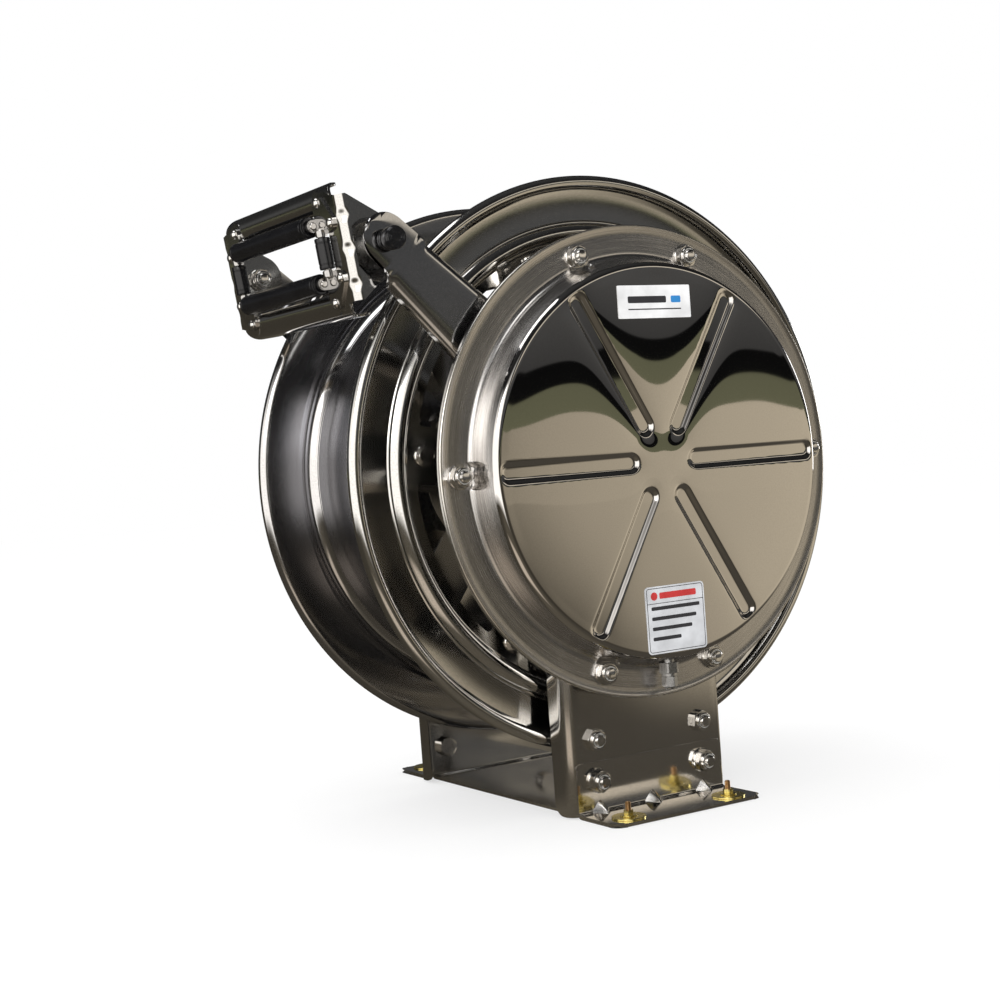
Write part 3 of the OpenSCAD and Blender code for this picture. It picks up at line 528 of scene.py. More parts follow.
def groove_depth(x, z):
    """Depth of the pressed face below its flat height, with soft shoulders along each groove."""
    depth = 0.0
    for k in range(6):
        a = math.radians(60 * k)
        ux, uz = math.cos(a), math.sin(a)
        along = x * ux + z * uz
        if along < -30:
            continue
        across = -x * uz + z * ux
        t = min(max(along, 34.0), 152.0)
        d = math.hypot(along - t, across)
        if d < 9.5:
            k_ = min(1.0, max(0.0, (9.5 - d) / 5.0))
            depth = max(depth, 2.6 * (k_ * k_ * (3 - 2 * k_)))
    return depth


def smooth(t):
    t = min(1.0, max(0.0, t))
    return t * t * (3 - 2 * t)


def shoulder(x, z):
    """The face is dished a little towards the middle and falls softly towards each groove."""
    fall = 0.56 * (1 + math.cos(math.pi * min(1.0, math.hypot(x, z) / 170)))
    for k in range(6):
        a = math.radians(60 * k)
        ux, uz = math.cos(a), math.sin(a)
        along = x * ux + z * uz
        across = -x * uz + z * ux
        d = math.hypot(along - min(max(along, 30.0), 150.0), across)
        rise, reach = 0.18, 7.0
        if k in (1, 2):
            w = 0.5 + 0.5 * math.tanh(across * (1 if k == 1 else -1) / 9.0)
            g = smooth((along - 28) / 60)
            rise = 0.48 + 0.14 * g
            reach = 7.0 + (2.0 + 3.0 * g) * w
        fall += rise * math.exp(-max(0.0, d - 6.0) / reach)
    return fall


def build_case_cover():
    segments = 720
    profile = [(150.0, 145.6), (RIM_R - 0.9, 145.5), (RIM_R - 0.2, 145.8), (RIM_R, 146.3)]
    profile += arc(RIM_R - 1.3, 146.3, 1.3, 0, 90, 5)
    profile += [(RIM_R - 2.4, 147.4), (RIM_R - 3.4, 147.0), (190.0, 147.0), (183.0, 147.0), (176.4, 147.0)]
    profile += [(175.6 - 5.7 * math.cos(math.radians(a)), 152.7 - 5.7 * math.sin(math.radians(a)))
                for a in range(84, -7, -10)]
    profile += [(168.9, 157.0), (167.3, 163.0), (166.0, 167.5)]
    profile += [(159.7 + 5.4 * math.cos(math.radians(a)), FACE_Y - 5.4 + 5.4 * math.sin(math.radians(a)))
                for a in (8, 20, 32, 44, 56, 68, 80, 90)]
    radii = list(np.linspace(158.6, 24.0, 118)) + list(np.linspace(22.5, 1.0, 12))
    verts = []
    for r, y in profile:
        for j in range(segments):
            a = 2 * math.pi * j / segments
            rr = r
            if 147.0 < y < 162 and r < 178:
                for b in CASE_ANGLES:
                    off = (math.degrees(a) - b + 180) % 360 - 180
                    arc_mm = abs(math.radians(off)) * 172
                    if arc_mm < 11:
                        k = min(1, (11 - arc_mm) / 3.5)
                        g = max(0.0, min(1.0, (161 - y) / 4))
                        rr -= 3.0 * k * k * (3 - 2 * k) * g
            low = shoulder(r * math.cos(a), r * math.sin(a)) * smooth((y - 158) / 12) if y > 158 else 0.0
            verts.append((rr * math.cos(a), low - y, AXIS_H + rr * math.sin(a)))
    for r in radii:
        edge = min(1.0, (159.7 - r) / 8)
        edge = edge * edge * (3 - 2 * edge)
        for j in range(segments):
            a = 2 * math.pi * j / segments
            x, z = r * math.cos(a), r * math.sin(a)
            low = groove_depth(x, z) + shoulder(x, z)
            low += 0.03 * math.sin(x / 17 + 1.3) * math.sin(z / 21 + 0.4) * edge
            verts.append((x, -(FACE_Y - low), AXIS_H + z))
    rows = len(profile) + len(radii)
    faces = grid_faces(rows, segments, close_rows=False)
    faces.append(tuple(range((rows - 1) * segments, rows * segments)))
    index = []
    for i in range(rows - 1):
        if i < 4:
            kind = 1
        # rows of the rolled lip take the lighter copy of the rim metal, a painted highlight
        elif i < 9:
            kind = 2
        elif i < len(profile) - 8:
            kind = 1
        else:
            kind = 0
        index.extend([kind] * segments)
    index.append(0)
    obj = mesh_object("spring_case_cover", verts, faces, [M["mirror"], M["rim"], M["edge"]], index, sharp=60)
    finish_piece(obj, "frame", ("case_cover",))


def label(name, w, h, r, z, node, base, marks):
    builder = Builder()
    out = -FACE_Y

    def place(a, b, depth):
        return (a, out - depth, AXIS_H + z + b)

    corners = [(-w / 2, -h / 2), (w / 2, -h / 2), (w / 2, h / 2), (-w / 2, h / 2)]
    plate(builder, rounded(corners, r), [], place, -1.2, 0.30, 0)
    for mat, loops in marks:
        for outer, holes in loops:
            plate(builder, outer, holes, place, 0.2, 0.36, mat)
    return finish_piece(builder.make(name, base, sharp=30), "frame", (node,))


def bar(x0, z0, x1, z1, r=0.0):
    pts = [(x0, z0), (x1, z0), (x1, z1), (x0, z1)]
    return (rounded(pts, r) if r else pts, [])


def frame_loop(w, h, r, line):
    big = [(-w / 2, -h / 2), (w / 2, -h / 2), (w / 2, h / 2), (-w / 2, h / 2)]
    small = [(x * (w - 2 * line) / w, z * (h - 2 * line) / h) for x, z in big]
    return (rounded(big, r), [rounded(small, max(0.1, r - line))[::-1]])


def build_labels():
    label("case_name_plate", 74, 27, 1, 131.5, "name_plate", [M["paper"], M["ink"], M["ink_blue"]], [
        (1, [bar(-27, -1.0, 12, 4.6, 1.2)]),
        (2, [bar(17, -1.0, 27, 4.6, 1.2)]),
        (1, [bar(-27, -6.6, 27, -5.6)]),
    ])
    rows = [bar(-25, 8.2 - 8.4 * i, 25 - (0, 4, 9, 21)[i], 11.2 - 8.4 * i, 1.0) for i in range(4)]
    label("case_notice_plate", 61, 56, 3.5, -131, "notice_plate",
          [M["paper_grey"], M["ink"], M["ink_red"]], [
              (1, [frame_loop(58.4, 53.4, 2.6, 0.55)]),
              (1, [bar(-29, 13.6, 29, 14.1)]),
              (2, [bar(-16, 17.4, 22, 22.6, 1.2)]),
              (2, [(circle_pts(-21.5, 20, 3.4, 24), [])]),
              (1, rows),
          ])


# ------------------------------------------------------------------ drum flanges

def build_flange(name, node, side):
    lo, hi = box_mm(node)
    rim = hi[0]
    sheet_in = min(abs(lo[1]), abs(hi[1]))
    sheet_out = sheet_in + 1.5
    bead = 6.0
    c = rim - bead
    cy = sheet_in + bead
    profile = [(187.0, sheet_in), (194.6, sheet_in), (195.4, sheet_in + 0.9)]
    for i in range(15):
        t = 1 - i / 14
        r = 210.4 - 14.6 * t
        profile.append((r, sheet_in + 1.2 * (1 - t) + 4.4 * math.sin(math.pi * t) ** 0.85))
    profile += [(211.4, sheet_in + 1.0), (213.0, sheet_in + 0.2), (214.5, sheet_in), (c - 6, sheet_in)]
    profile += arc(c, cy, bead, -90, 212, 36)
    profile += [(c - 7.6, sheet_out + 0.35), (c - 9.5, sheet_out), (214.5, sheet_out), (212.6, sheet_out)]
    profile += [(212.2, sheet_out + 0.5), (211.4, sheet_out + 1.1), (210.4, sheet_out + 1.2)]
    for i in range(17):
        t = i / 16
        r = 209.6 - 16.0 * t
        profile.append((r, sheet_out + 1.2 * (1 - t) + 4.7 * math.sin(math.pi * min(1, t * 1.0)) ** 0.85))
    profile += [(192.6, sheet_out), (187.0, sheet_out)]
    verts, faces = lathe(profile, on_y(side=side), 240)
    builder = Builder()
    builder.add(verts, faces, 0)
    holes = []
    for k in range(6):
        mid = math.radians(TIE_ANGLES[k] + 30)
        apex = 24 / math.sin(math.radians(30))
        pts = []
        inner, outer = 84.0, 185.5
        spread_in = math.radians(30) - math.asin(24 / inner)
        spread_out = math.radians(30) - math.asin(24 / outer)
        n = 14
        for i in range(n + 1):
            a = mid - spread_out + 2 * spread_out * i / n
            pts.append((outer * math.cos(a), outer * math.sin(a)))
        for i in range(n + 1):
            a = mid + spread_in - 2 * spread_in * i / n
            pts.append((inner * math.cos(a), inner * math.sin(a)))
        radii = [0.0] * len(pts)
        for i in (0, n, n + 1, 2 * n + 1):
            radii[i] = 9.0
        holes.append(rounded(pts, radii)[::-1])
    plate(builder, circle_pts(0, 0, 187.0, 240), holes + [circle_pts(0, 0, 15.1, 48)[::-1]],
          lambda a, b, h: (a, side * h, AXIS_H + b), sheet_in, sheet_out, 0)
    # the far flange takes the darker copy of the flange stainless, painted shade
    obj = builder.make(name, [M["flange" if side < 0 else "satin"]], sharp=35)
    finish_piece(obj, "drum", (node,))


# ------------------------------------------------------------------ foot brackets

def build_foot(name, node, side):
    web = WEB[side]
    depth, height, half, bend = 58.0, 46.0, 77.0, 6.0
    front_r, top_r = 10.0, 5.0
    inner = bend - FOOT_T
    path = [(FOOT_T, z) for z in np.linspace(height, height - top_r, 9)] + [(FOOT_T, 30.0), (FOOT_T, 18.0)]
    path += [(bend - inner * math.cos(math.radians(a)), bend - inner * math.sin(math.radians(a)))
             for a in range(0, 91, 15)]
    path += [(20.0, FOOT_T), (34.0, FOOT_T)] + [(y, FOOT_T) for y in np.linspace(depth - front_r, depth, 13)]
    back = [(y, 0.0) for y in np.linspace(depth, depth - front_r, 13)] + [(30.0, 0.0), (bend, 0.0)]
    back += [(bend - bend * math.cos(math.radians(a)), bend - bend * math.sin(math.radians(a)))
             for a in range(75, 0, -15)]
    back += [(0.0, bend), (0.0, 24.0)] + [(0.0, z) for z in np.linspace(height - top_r, height, 9)]
    full = path + back
    cols = 41
    builder = Builder()
    verts = []
    for y, z in full:
        width = half
        for reach, edge, r in ((y, depth, front_r), (z, height, top_r)):
            if reach > edge - r:
                width = half - r + math.sqrt(max(0.0, r * r - (reach - edge + r) ** 2))
        for j in range(cols):
            verts.append((width * (2 * j / (cols - 1) - 1), side * (web + y), z))
    rows = len(full)
    faces = grid_faces(rows, cols, close_rows=True, close_cols=False)
    for j in (0, cols - 1):
        ring = [i * cols + j for i in range(rows)]
        faces.append(tuple(ring if j else ring[::-1]))
    builder.add(verts, faces)
    for x in (-55.0, 0.0, 55.0):
        shape = [(x, 2.9, 13.0), (x, 15.5, 2.9), (x - 9.5, 3.6, 3.6), (x + 9.5, 3.6, 3.6), (x, 1.5, 1.5),
                 (x - 3.6, 3.0, 10.2), (x + 3.6, 3.0, 10.2), (x - 3.6, 12.2, 3.0), (x + 3.6, 12.2, 3.0)]
        ridge = [(x - 0.6, 3.4, 12.4), (x + 0.6, 3.4, 12.4), (x - 0.6, 14.9, 3.2), (x + 0.6, 14.9, 3.2)]
        pts = [(a, side * (web + b), c) for a, b, c in shape + ridge]
        builder.add(pts, [(9, 10, 12, 11), (9, 11, 7, 2, 5), (10, 6, 3, 8, 12), (0, 10, 9), (1, 11, 12), (0, 9, 5), (0, 6, 10),
                          (1, 7, 11), (1, 12, 8), (0, 5, 2, 4), (0, 4, 3, 6), (1, 4, 2, 7), (1, 8, 3, 4)])
    obj = builder.make(name, [M["foot"]], sharp=25)
    finish_piece(obj, "frame", (node,), bevel=0.4, segments=2, angle=60)


def build_transit_bolts():
    """Yellow screws with wide washers that held the reel down for carriage."""
    hole_x, hole_y = 52.7, 40.3
    builder = Builder()
    for side in (-1, 1):
        for x in (-hole_x, hole_x):
            cy = side * (WEB[side] + hole_y)

            def up(r, a, t, x=x, cy=cy):
                return (x + r * math.cos(a), cy + r * math.sin(a), t)

            washer(builder, 14.5, 2.7, up, FOOT_T, FOOT_T + 1.5, 0)
            washer(builder, 7.2, 2.7, up, FOOT_T + 1.5, FOOT_T + 2.4, 0)
            hex_body(builder, 8.0, up, FOOT_T + 2.4, FOOT_T + 6.4, hole=2.6, turn=0.3 * x, foot=True)
            thread(builder, 2.5, up, 0.4, 16.5, pitch=0.8, depth=0.3, index=1, tip=0.8)
    obj = builder.make("transit_bolts", [M["zinc"], M["copper"]], sharp=35)
    finish_piece(obj, "frame")


# ------------------------------------------------------------------ bolts, washers and nuts

def build_base_fasteners():
    bolts, washers, nuts = Builder(), Builder(), Builder()
    for side in (-1, 1):
        for sx in (-1, 1):
            for row, z in enumerate(BASE_BOLT_Z):
                y0 = WEB[side] + (FOOT_T if row == 0 else 0)
                inside = WEB[side] - 2 * SHEET
                place = on_y(sx * BASE_BOLT_X, z, side)
                turn = 0.37 * row + 0.8 * sx + 0.2 * side
                hex_body(bolts, 17, place, inside, inside - 6.4, turn=turn)
                bolts.add(*lathe([(5.0, inside - 0.5), (5.0, y0 + 8)], place, 32, closed=False), 0)
                thread(bolts, 5.0, place, y0 + 8, y0 + 13.0)
                washer(washers, 10.5, 5.1, place, y0, y0 + 2.0)
                lock_nut(nuts, 17, 5.0, place, y0 + 2.0, y0 + 10.4, turn=turn + 0.5)
    for builder, name, node in ((bolts, "base_bolt_set", "base_bolts"), (washers, "base_washer_set", "base_washers"),
                                (nuts, "base_nut_set", "base_nuts")):
        obj = builder.make(name, [M["bright"], M["insert"]], sharp=35)
        finish_piece(obj, "frame", (node,))


def build_case_fasteners():
    bolts, washers, nuts = Builder(), Builder(), Builder()
    for a in CASE_ANGLES:
        t = math.radians(a)
        place = on_y(CASE_BOLT_R * math.cos(t), AXIS_H + CASE_BOLT_R * math.sin(t), -1)
        back = WEB[-1] - SHEET if a not in (0, 180) else RIM_Y - 4.0
        hex_body(bolts, 17, place, back, back - 6.4, turn=t)
        bolts.add(*lathe([(5.0, back - 0.5), (5.0, RIM_Y + 6)], place, 32, closed=False), 0)
        thread(bolts, 5.0, place, RIM_Y + 6, RIM_Y + 10.7)
        washer(washers, 10.5, 5.1, place, RIM_Y, RIM_Y + 1.6)
        lock_nut(nuts, 17, 5.0, place, RIM_Y + 1.6, RIM_Y + 8.1, turn=t * 1.7)
    for builder, name, node in ((bolts, "case_bolt_set", "case_bolts"), (washers, "case_washer_set", "case_washers"),
                                (nuts, "case_nut_set", "case_nuts")):
        obj = builder.make(name, [M["bright"], M["insert"]], sharp=35)
        finish_piece(obj, "frame", (node,))


def build_anchor_bolt():
    lo, hi = box_mm("spring_anchor_bolt")
    cy = (lo[1] + hi[1]) / 2
    builder = Builder()

    def down(r, a, t):
        return (r * math.cos(a), cy - r * math.sin(a), AXIS_H - t)

    tip = AXIS_H - lo[2]
    hex_body(builder, 16, down, 169.0, 178.0, turn=0.2, foot=True)
    washer(builder, 6.6, 5.0, down, 178.0, 181.0)
    hex_body(builder, 12, down, 181.0, 189.5, turn=0.55, foot=True)
    builder.add(*lathe([(5.0, 155.0), (5.0, tip - 4)], down, 32, closed=False), 0)
    thread(builder, 5.0, down, tip - 4.5, tip)
    finish_piece(builder.make("spring_anchor", [M["shaft"]], sharp=35), "frame",
                 ("spring_anchor_bolt",))


def build_drum_ties():
    bolts, nuts = Builder(), Builder()
    out = 84.0
    for a in TIE_ANGLES:
        t = math.radians(a)
        x, z = TIE_R * math.cos(t), AXIS_H + TIE_R * math.sin(t)
        near, far = on_y(x, z, -1), on_y(x, z, 1)
        washer(bolts, 8.6, 4.1, near, out, out + 1.2)
        hex_body(bolts, 13, near, out + 1.2, out + 5.3, turn=t)
        bolts.add(*lathe([(4.0, -out - 6), (4.0, out + 1)], near, 32, closed=False), 0)
        thread(bolts, 4.0, far, out + 5, out + 9)
        lock_nut(nuts, 13, 4.0, far, out, out + 6.5, turn=t)
    finish_piece(bolts.make("drum_tie_bolt_set", [M["bright"]], sharp=35), "drum",
                 ("drum_tie_bolts",))
    finish_piece(nuts.make("drum_tie_nut_set", [M["bright"], M["insert"]], sharp=35), "drum",
                 ("drum_tie_nuts",))


# ------------------------------------------------------------------ pedestals and arms

def solidify(obj, thickness, offset, even=True):
    mod = obj.modifiers.new("thick", "SOLIDIFY")
    mod.thickness = thickness * MM
    mod.offset = offset
    mod.use_even_offset = even
    return obj


def build_pedestal(name, node, side, top_r):
    web = WEB[side]
    half, depth, bend = 81.0, 23.0, 8.5
    corner = [(half, d) for d in (depth, depth - 1.2, depth - 3, depth - 6, depth - 9, bend + 2)]
    corner += [(half - bend + bend * math.cos(math.radians(a)), bend - bend * math.sin(math.radians(a)))
               for a in range(0, 91, 9)]
    flat = [(x, 0.0) for x in np.linspace(half - bend - 4, 0.0, 18)]
    right = corner + flat
    section = right + [(-x, d) for x, d in right[-2::-1]]
    clear_x = half - bend + 0.005
    if side > 0:
        cut = next(i for i, (x, d) in enumerate(section) if x < -clear_x)
        section.insert(cut, (-clear_x - 0.005, section[cut - 1][1]))
    rows = 46
    verts = []
    for i in range(rows):
        t = i / (rows - 1)
        t = t ** 1.6 if t < 0.5 else t ** 1.6
        for x, d in section:
            u = max(0.0, (d - (depth - 11)) / 11)
            low = 1.0 + 11.0 * (1 - math.sqrt(max(0.0, 1 - min(1, u) ** 2)))
            high = AXIS_H + math.sqrt(top_r ** 2 - x ** 2)
            if side > 0 and x < -clear_x:
                high = 289.0
            elif d > bend:
                high -= 14.0 * (1 - math.sqrt(max(0.0, 1 - min(1, (d - bend) / (depth - bend)) ** 2)))
            verts.append((x, side * (web - d), low + (high - low) * t))
    faces = grid_faces(rows, len(section), close_rows=False, close_cols=False, flip=side > 0)
    obj = mesh_object(name, verts, faces, [M["post"]], sharp=50)
    solidify(obj, SHEET, -1)
    finish_piece(obj, "frame", (node,), bevel=0.5, segments=2, angle=50)


ARM_END = 19.5
ARM_TOP = 39.0
ARM_LOW = 46.4


def build_arm(name, node, side, skin, inward, top_start, low_start, reach):
    """skin: how far the hollow side is from the drum centre; inward: +1 if the flanges bend towards the drum."""
    px, pz = PIVOT[0], PIVOT[2]
    top_dir = Vector((math.cos(math.radians(ARM_TOP)), -math.sin(math.radians(ARM_TOP))))
    low_dir = Vector((math.cos(math.radians(ARM_LOW)), -math.sin(math.radians(ARM_LOW))))
    pivot = Vector((px, pz))
    a_top, a_low = 90 - ARM_TOP, 180 + 90 - ARM_LOW
    rows = []
    n = 12
    for k in range(n, 0, -1):
        swing = (a_low - a_top) / 2 * k / n
        ta, la = math.radians(a_top + swing), math.radians(a_low - swing)
        rows.append((pivot + ARM_END * Vector((math.cos(la), math.sin(la))),
                     pivot + ARM_END * Vector((math.cos(ta), math.sin(ta))), 0.0, 0.0))
    ta, la = math.radians(a_top), math.radians(a_low)
    top0 = pivot + ARM_END * Vector((math.cos(ta), math.sin(ta)))
    low0 = pivot + ARM_END * Vector((math.cos(la), math.sin(la)))

    def ease(d, start, over):
        k = min(1.0, max(0.0, (d - start) / over))
        return k * k * (3 - 2 * k)

    for s in list(np.linspace(0, 0.3, 46)) + list(np.linspace(0.32, 1.0, 24)):
        dt, dl = 220.0 * s, 256.0 * s
        fade = 1.0 - ease(max(dt, dl), 205.0, 10.0)
        turn_t, turn_l = ease(dt, top_start, 9.0) * fade, ease(dl, low_start, 9.0) * fade
        out_t, out_l = -1.2 * turn_t, 1.2 * turn_l
        t = top0 + top_dir * dt + Vector((math.sin(math.radians(ARM_TOP)), math.cos(math.radians(ARM_TOP)))) * out_t
        l = low0 + low_dir * dl - Vector((math.sin(math.radians(ARM_LOW)), math.cos(math.radians(ARM_LOW)))) * out_l
        rows.append((l, t, turn_l, turn_t))
    verts = []
    cols = 0
    for low, top, f_low, f_top in rows:
        line = top - low
        length = line.length
        unit = line / length if length > 1e-6 else Vector((0, 1))
        section = []
        for q, at_low in ((f_low, True), (f_top, False)):
            bend, turn = 5.5, math.pi / 2 * q
            part = [(bend * q - bend * math.sin(turn * k / 6), bend - bend * math.cos(turn * k / 6)) for k in range(6, -1, -1)]
            e0, d0 = part[0]
            straight = max(0.0, reach - bend) * q
            part = [(e0 - straight * k * math.cos(turn), d0 + straight * k * math.sin(turn)) for k in (1.0, 0.9, 0.45)] + part
            part.append((bend * q + (length / 2 - bend * q) * 0.35, 0.0))
            part.append((bend * q + (length / 2 - bend * q) * 0.7, 0.0))
            if at_low:
                section += [(e, d) for e, d in part]
            else:
                section += [(length - e, d) for e, d in part[::-1]]
        cols = len(section)
        for e, d in section:
            p = low + unit * e
            verts.append((p.x, side * (skin - inward * d), p.y))
    faces = grid_faces(len(rows), cols, close_rows=False, close_cols=False, flip=side * inward < 0)
    obj = mesh_object(name, verts, faces, [M["arm"]], sharp=60)
    solidify(obj, SHEET, 1, even=False)
    finish_piece(obj, "frame", (node,), bevel=0.35, segments=2, angle=60)
    return obj


# ------------------------------------------------------------------ guide head

LEAN = math.radians(7.5)
HEAD_U = 28.0
FACE_W = 118.0
WIN_H = 35.5
FACE_H = 51.0
LONG_R, LONG_U, LONG_V, LONG_HALF = 8.5, 6.0, 22.9, 74.0
SHORT_R, SHORT_U, SHORT_Y, SHORT_HALF = 6.2, 3.2, 85.0, 12.4


def head_point(u, y, v):
    du = u - HEAD_U
    return (PIVOT[0] + du * math.cos(LEAN) - v * math.sin(LEAN), y,
            PIVOT[2] + du * math.sin(LEAN) + v * math.cos(LEAN))


def build_head_side(name, node, side):
    bend = 7.5
    flat = FACE_W - bend
    t = SHEET
    builder = Builder()
    half = [(92.5, 0), (92.5, 15.5), (89.0, 17.5), (77.5, 17.5), (77.0, 35.5), (74.5, 41.5), (76.5, 47.5), (82.0, 50.0), (87.5, 47.4),
            (93.0, 47.0), (99.0, 46.0), (104.0, 43.0), (flat, 41.5)]
    outline = rounded(half + [(y, -v) for y, v in half[::-1] if v], [0 if p[0] > 108 else 2.5 for p in half + [q for q in half[::-1] if q[1]]])
    plate(builder, outline, [], lambda a, b, h: head_point(h, side * a, b), 0.0, t)
    darts = (25.0, -1.0, -29.0)
    rows, cols = 84, 13
    for skin in (0, 1):
        verts = []
        for i in range(rows):
            v = -41.5 + 83.0 * i / (rows - 1)
            pinch = 0.0
            for d in darts:
                k = max(0.0, 1 - abs(v - d) / 6.5)
                pinch = max(pinch, 1.1 * k * k * (3 - 2 * k))
            for j in range(cols):
                a = math.radians(90 * j / (cols - 1))
                r = (bend if skin == 0 else bend - t)
                cu, cy = bend - r * math.cos(a), flat + r * math.sin(a)
                push = pinch * math.sin(2 * a)
                verts.append(head_point(cu + push * 0.7071, side * (cy - push * 0.7071), v))
        faces = grid_faces(rows, cols, close_rows=False, close_cols=False, flip=(side < 0) != (skin == 1))
        builder.add(verts, faces)
    cheek = [(bend, -41.5), (HEAD_U + 22 * math.sin(math.radians(33)) - 2, -22 * math.cos(math.radians(33)) - 1.2)]
    cheek += [(HEAD_U + 22 * math.cos(math.radians(a)), 22 * math.sin(math.radians(a))) for a in range(-50, 51, 5)]
    cheek += [(HEAD_U + 22 * math.sin(math.radians(33)) - 2, 22 * math.cos(math.radians(33)) + 1.2), (bend, 41.5)]
    plate(builder, rounded(cheek, [0] + [3] * (len(cheek) - 2) + [0]), [circle_pts(HEAD_U, 0, 5.1)[::-1]],
          lambda a, b, h: head_point(a, side * h, b), FACE_W - t, FACE_W)
    obj = builder.make(name, [M["head"]], sharp=35)
    finish_piece(obj, "head", (node,), bevel=0.4, segments=2, angle=60)


def build_head_cross(name, node, up):
    deep = 13.0 if up > 0 else 22.0
    bend = 8.0
    u0 = SHEET + 0.02
    path = [(u0 + 5.5, WIN_H - 1.0), (u0 + 3.2, WIN_H - 1.0), (u0 + 1.2, WIN_H - 0.3), (u0 + 0.2, WIN_H + 1.4), (u0, WIN_H + 3.4)]
    path += [(u0, FACE_H - bend - 1)]
    path += [(u0 + bend - bend * math.cos(math.radians(a)), FACE_H - bend + bend * math.sin(math.radians(a)))
             for a in range(0, 91, 9)]
    path += [(u0 + bend + (deep - bend) * k, FACE_H) for k in (0.3, 0.6, 0.9, 1.0)]
    cols = 61
    verts = []
    for i, (u, v) in enumerate(path):
        wide = 97.0
        if v < WIN_H + 3:
            wide = 74.0
        elif v > FACE_H - bend - 0.5:
            wide = 93.0 + math.sqrt(max(0.0, 13.0 ** 2 - (v - FACE_H + 13.0) ** 2))
            wide -= 3.0 * max(0, (u - (u0 + deep - 5)) / 5) ** 2
        for j in range(cols):
            verts.append(head_point(u, wide * (2 * j / (cols - 1) - 1), up * v))
    faces = grid_faces(len(path), cols, close_rows=False, close_cols=False, flip=up < 0)
    obj = mesh_object(name, verts, faces, [M["head"]], sharp=60)
    solidify(obj, SHEET, -1)
    finish_piece(obj, "head", (node,), bevel=0.4, segments=2, angle=60)


def saddle(r, u, slot=0.0):
    """Strap over an axle: loop of (u, across) from the face round the axle and back."""
    turn = [(-u - r * math.sin(math.radians(a)), r * math.cos(math.radians(a))) for a in range(0, 181, 12)]
    loop = [(-0.2, r + 1.2), (-min(1.4, u * 0.4), r + 0.3)] + turn + [(-min(1.4, u * 0.4), -r - 0.3), (-0.2, -r - 1.2)]
    if slot:
        loop += [(-0.2, -slot), (-u, -slot)]
        loop += [(-u - slot * math.sin(math.radians(a)), -slot * math.cos(math.radians(a))) for a in range(15, 180, 15)]
        loop += [(-u, slot), (-0.2, slot)]
    return loop


def build_clips():
    builder = Builder()
    clear = 3.08
    for sy in (-1, 1):
        for sv in (-1, 1):
            corner = [(76.0, 14.6), (80.0, 14.6), (80.0, 21.0), (90.0, 21.0), (90.0, 14.6), (95.0, 14.6), (106.0, 17.0),
                      (107.0, 25.0), (90.0, 45.0), (79.0, 45.0), (76.0, 38.0)]
            radii = [0.5, 0.5, 0.5, 0.5, 0.5, 3.0, 5.0, 5.0, 6.0, 5.0, 4.0]
            plate(builder, rounded(corner, radii), [], lambda a, b, h: head_point(h, sy * a, sv * b), -2.0, -0.05)
            long_y = LONG_HALF + 0.8
            for y0, y1, grow in ((long_y, long_y + 0.7, -0.6), (long_y + 0.7, long_y + 4.3, 0.0), (long_y + 4.3, long_y + 5.0, -0.6)):
                plate(builder, saddle(5.0 + grow, LONG_U), [circle_pts(-LONG_U, 0.0, clear, 24)[::-1]],
                      lambda a, b, h: head_point(a, sy * h, sv * (LONG_V + b)), y0, y1)
            short_v = SHORT_HALF + 0.8
            for v0, v1, grow in ((short_v, short_v + 0.6, -0.5), (short_v + 0.6, short_v + 4.4, 0.0), (short_v + 4.4, short_v + 5.0, -0.5)):
                plate(builder, saddle(4.6 + grow, SHORT_U, clear), [],
                      lambda a, b, h: head_point(a, sy * (SHORT_Y + b), sv * h), v0, v1)
    obj = builder.make("roller_clip_set", [M["clip"]], sharp=35)
    finish_piece(obj, "head", ("roller_clips",), bevel=0.35, segments=2, angle=60)


def build_rivets():
    builder = Builder()
    for points, tail in (((84.0, 39.7), 5.0), ((101.0, 21.5), 2.5)):
        for sy in (-1, 1):
            for sv in (-1, 1):

                def place(r, a, t, y=sy * points[0], v=sv * points[1]):
                    return head_point(t, y + r * math.cos(a), v + r * math.sin(a))

                dome = [(4.3 * math.cos(math.radians(a)), -2.0 - 2.9 * math.sin(math.radians(a))) for a in (88, 75, 60, 45, 30, 15, 0)]
                builder.add(*lathe([(2.0, tail)] + [(2.0, -2.0)] + dome[::-1], place, 32, closed=False), 0)
                builder.add(*lathe([(0.2, tail + 1.3), (2.6, tail + 1.3), (3.3, tail + 0.8), (3.3, tail), (2.0, tail)], place, 24,
                                   closed=False), 0)
    finish_piece(builder.make("clip_rivet_set", [M["bright"]], sharp=50), "head", ("clip_rivets",))


def build_axles():
    builder = Builder()
    long_end, short_end = LONG_HALF + 6.5, SHORT_HALF + 6.5
    for v in (-1, 1):

        def along_y(r, a, t, v=v):
            return head_point(-LONG_U + r * math.cos(a), t, v * LONG_V + r * math.sin(a))

        builder.add(*lathe([(2.2, -long_end), (3.0, -long_end + 0.8), (3.0, long_end - 0.8), (2.2, long_end)], along_y, 28,
                           closed=False, caps=True))
    for y in (-1, 1):

        def along_v(r, a, t, y=y):
            return head_point(-SHORT_U + r * math.cos(a), y * SHORT_Y + r * math.sin(a), t)

        builder.add(*lathe([(2.2, -short_end), (3.0, -short_end + 0.8), (3.0, short_end - 0.8), (2.2, short_end)], along_v, 28,
                           closed=False, caps=True))
    finish_piece(builder.make("roller_axle_set", [M["bright"]], sharp=45), "head", ("roller_axles",))


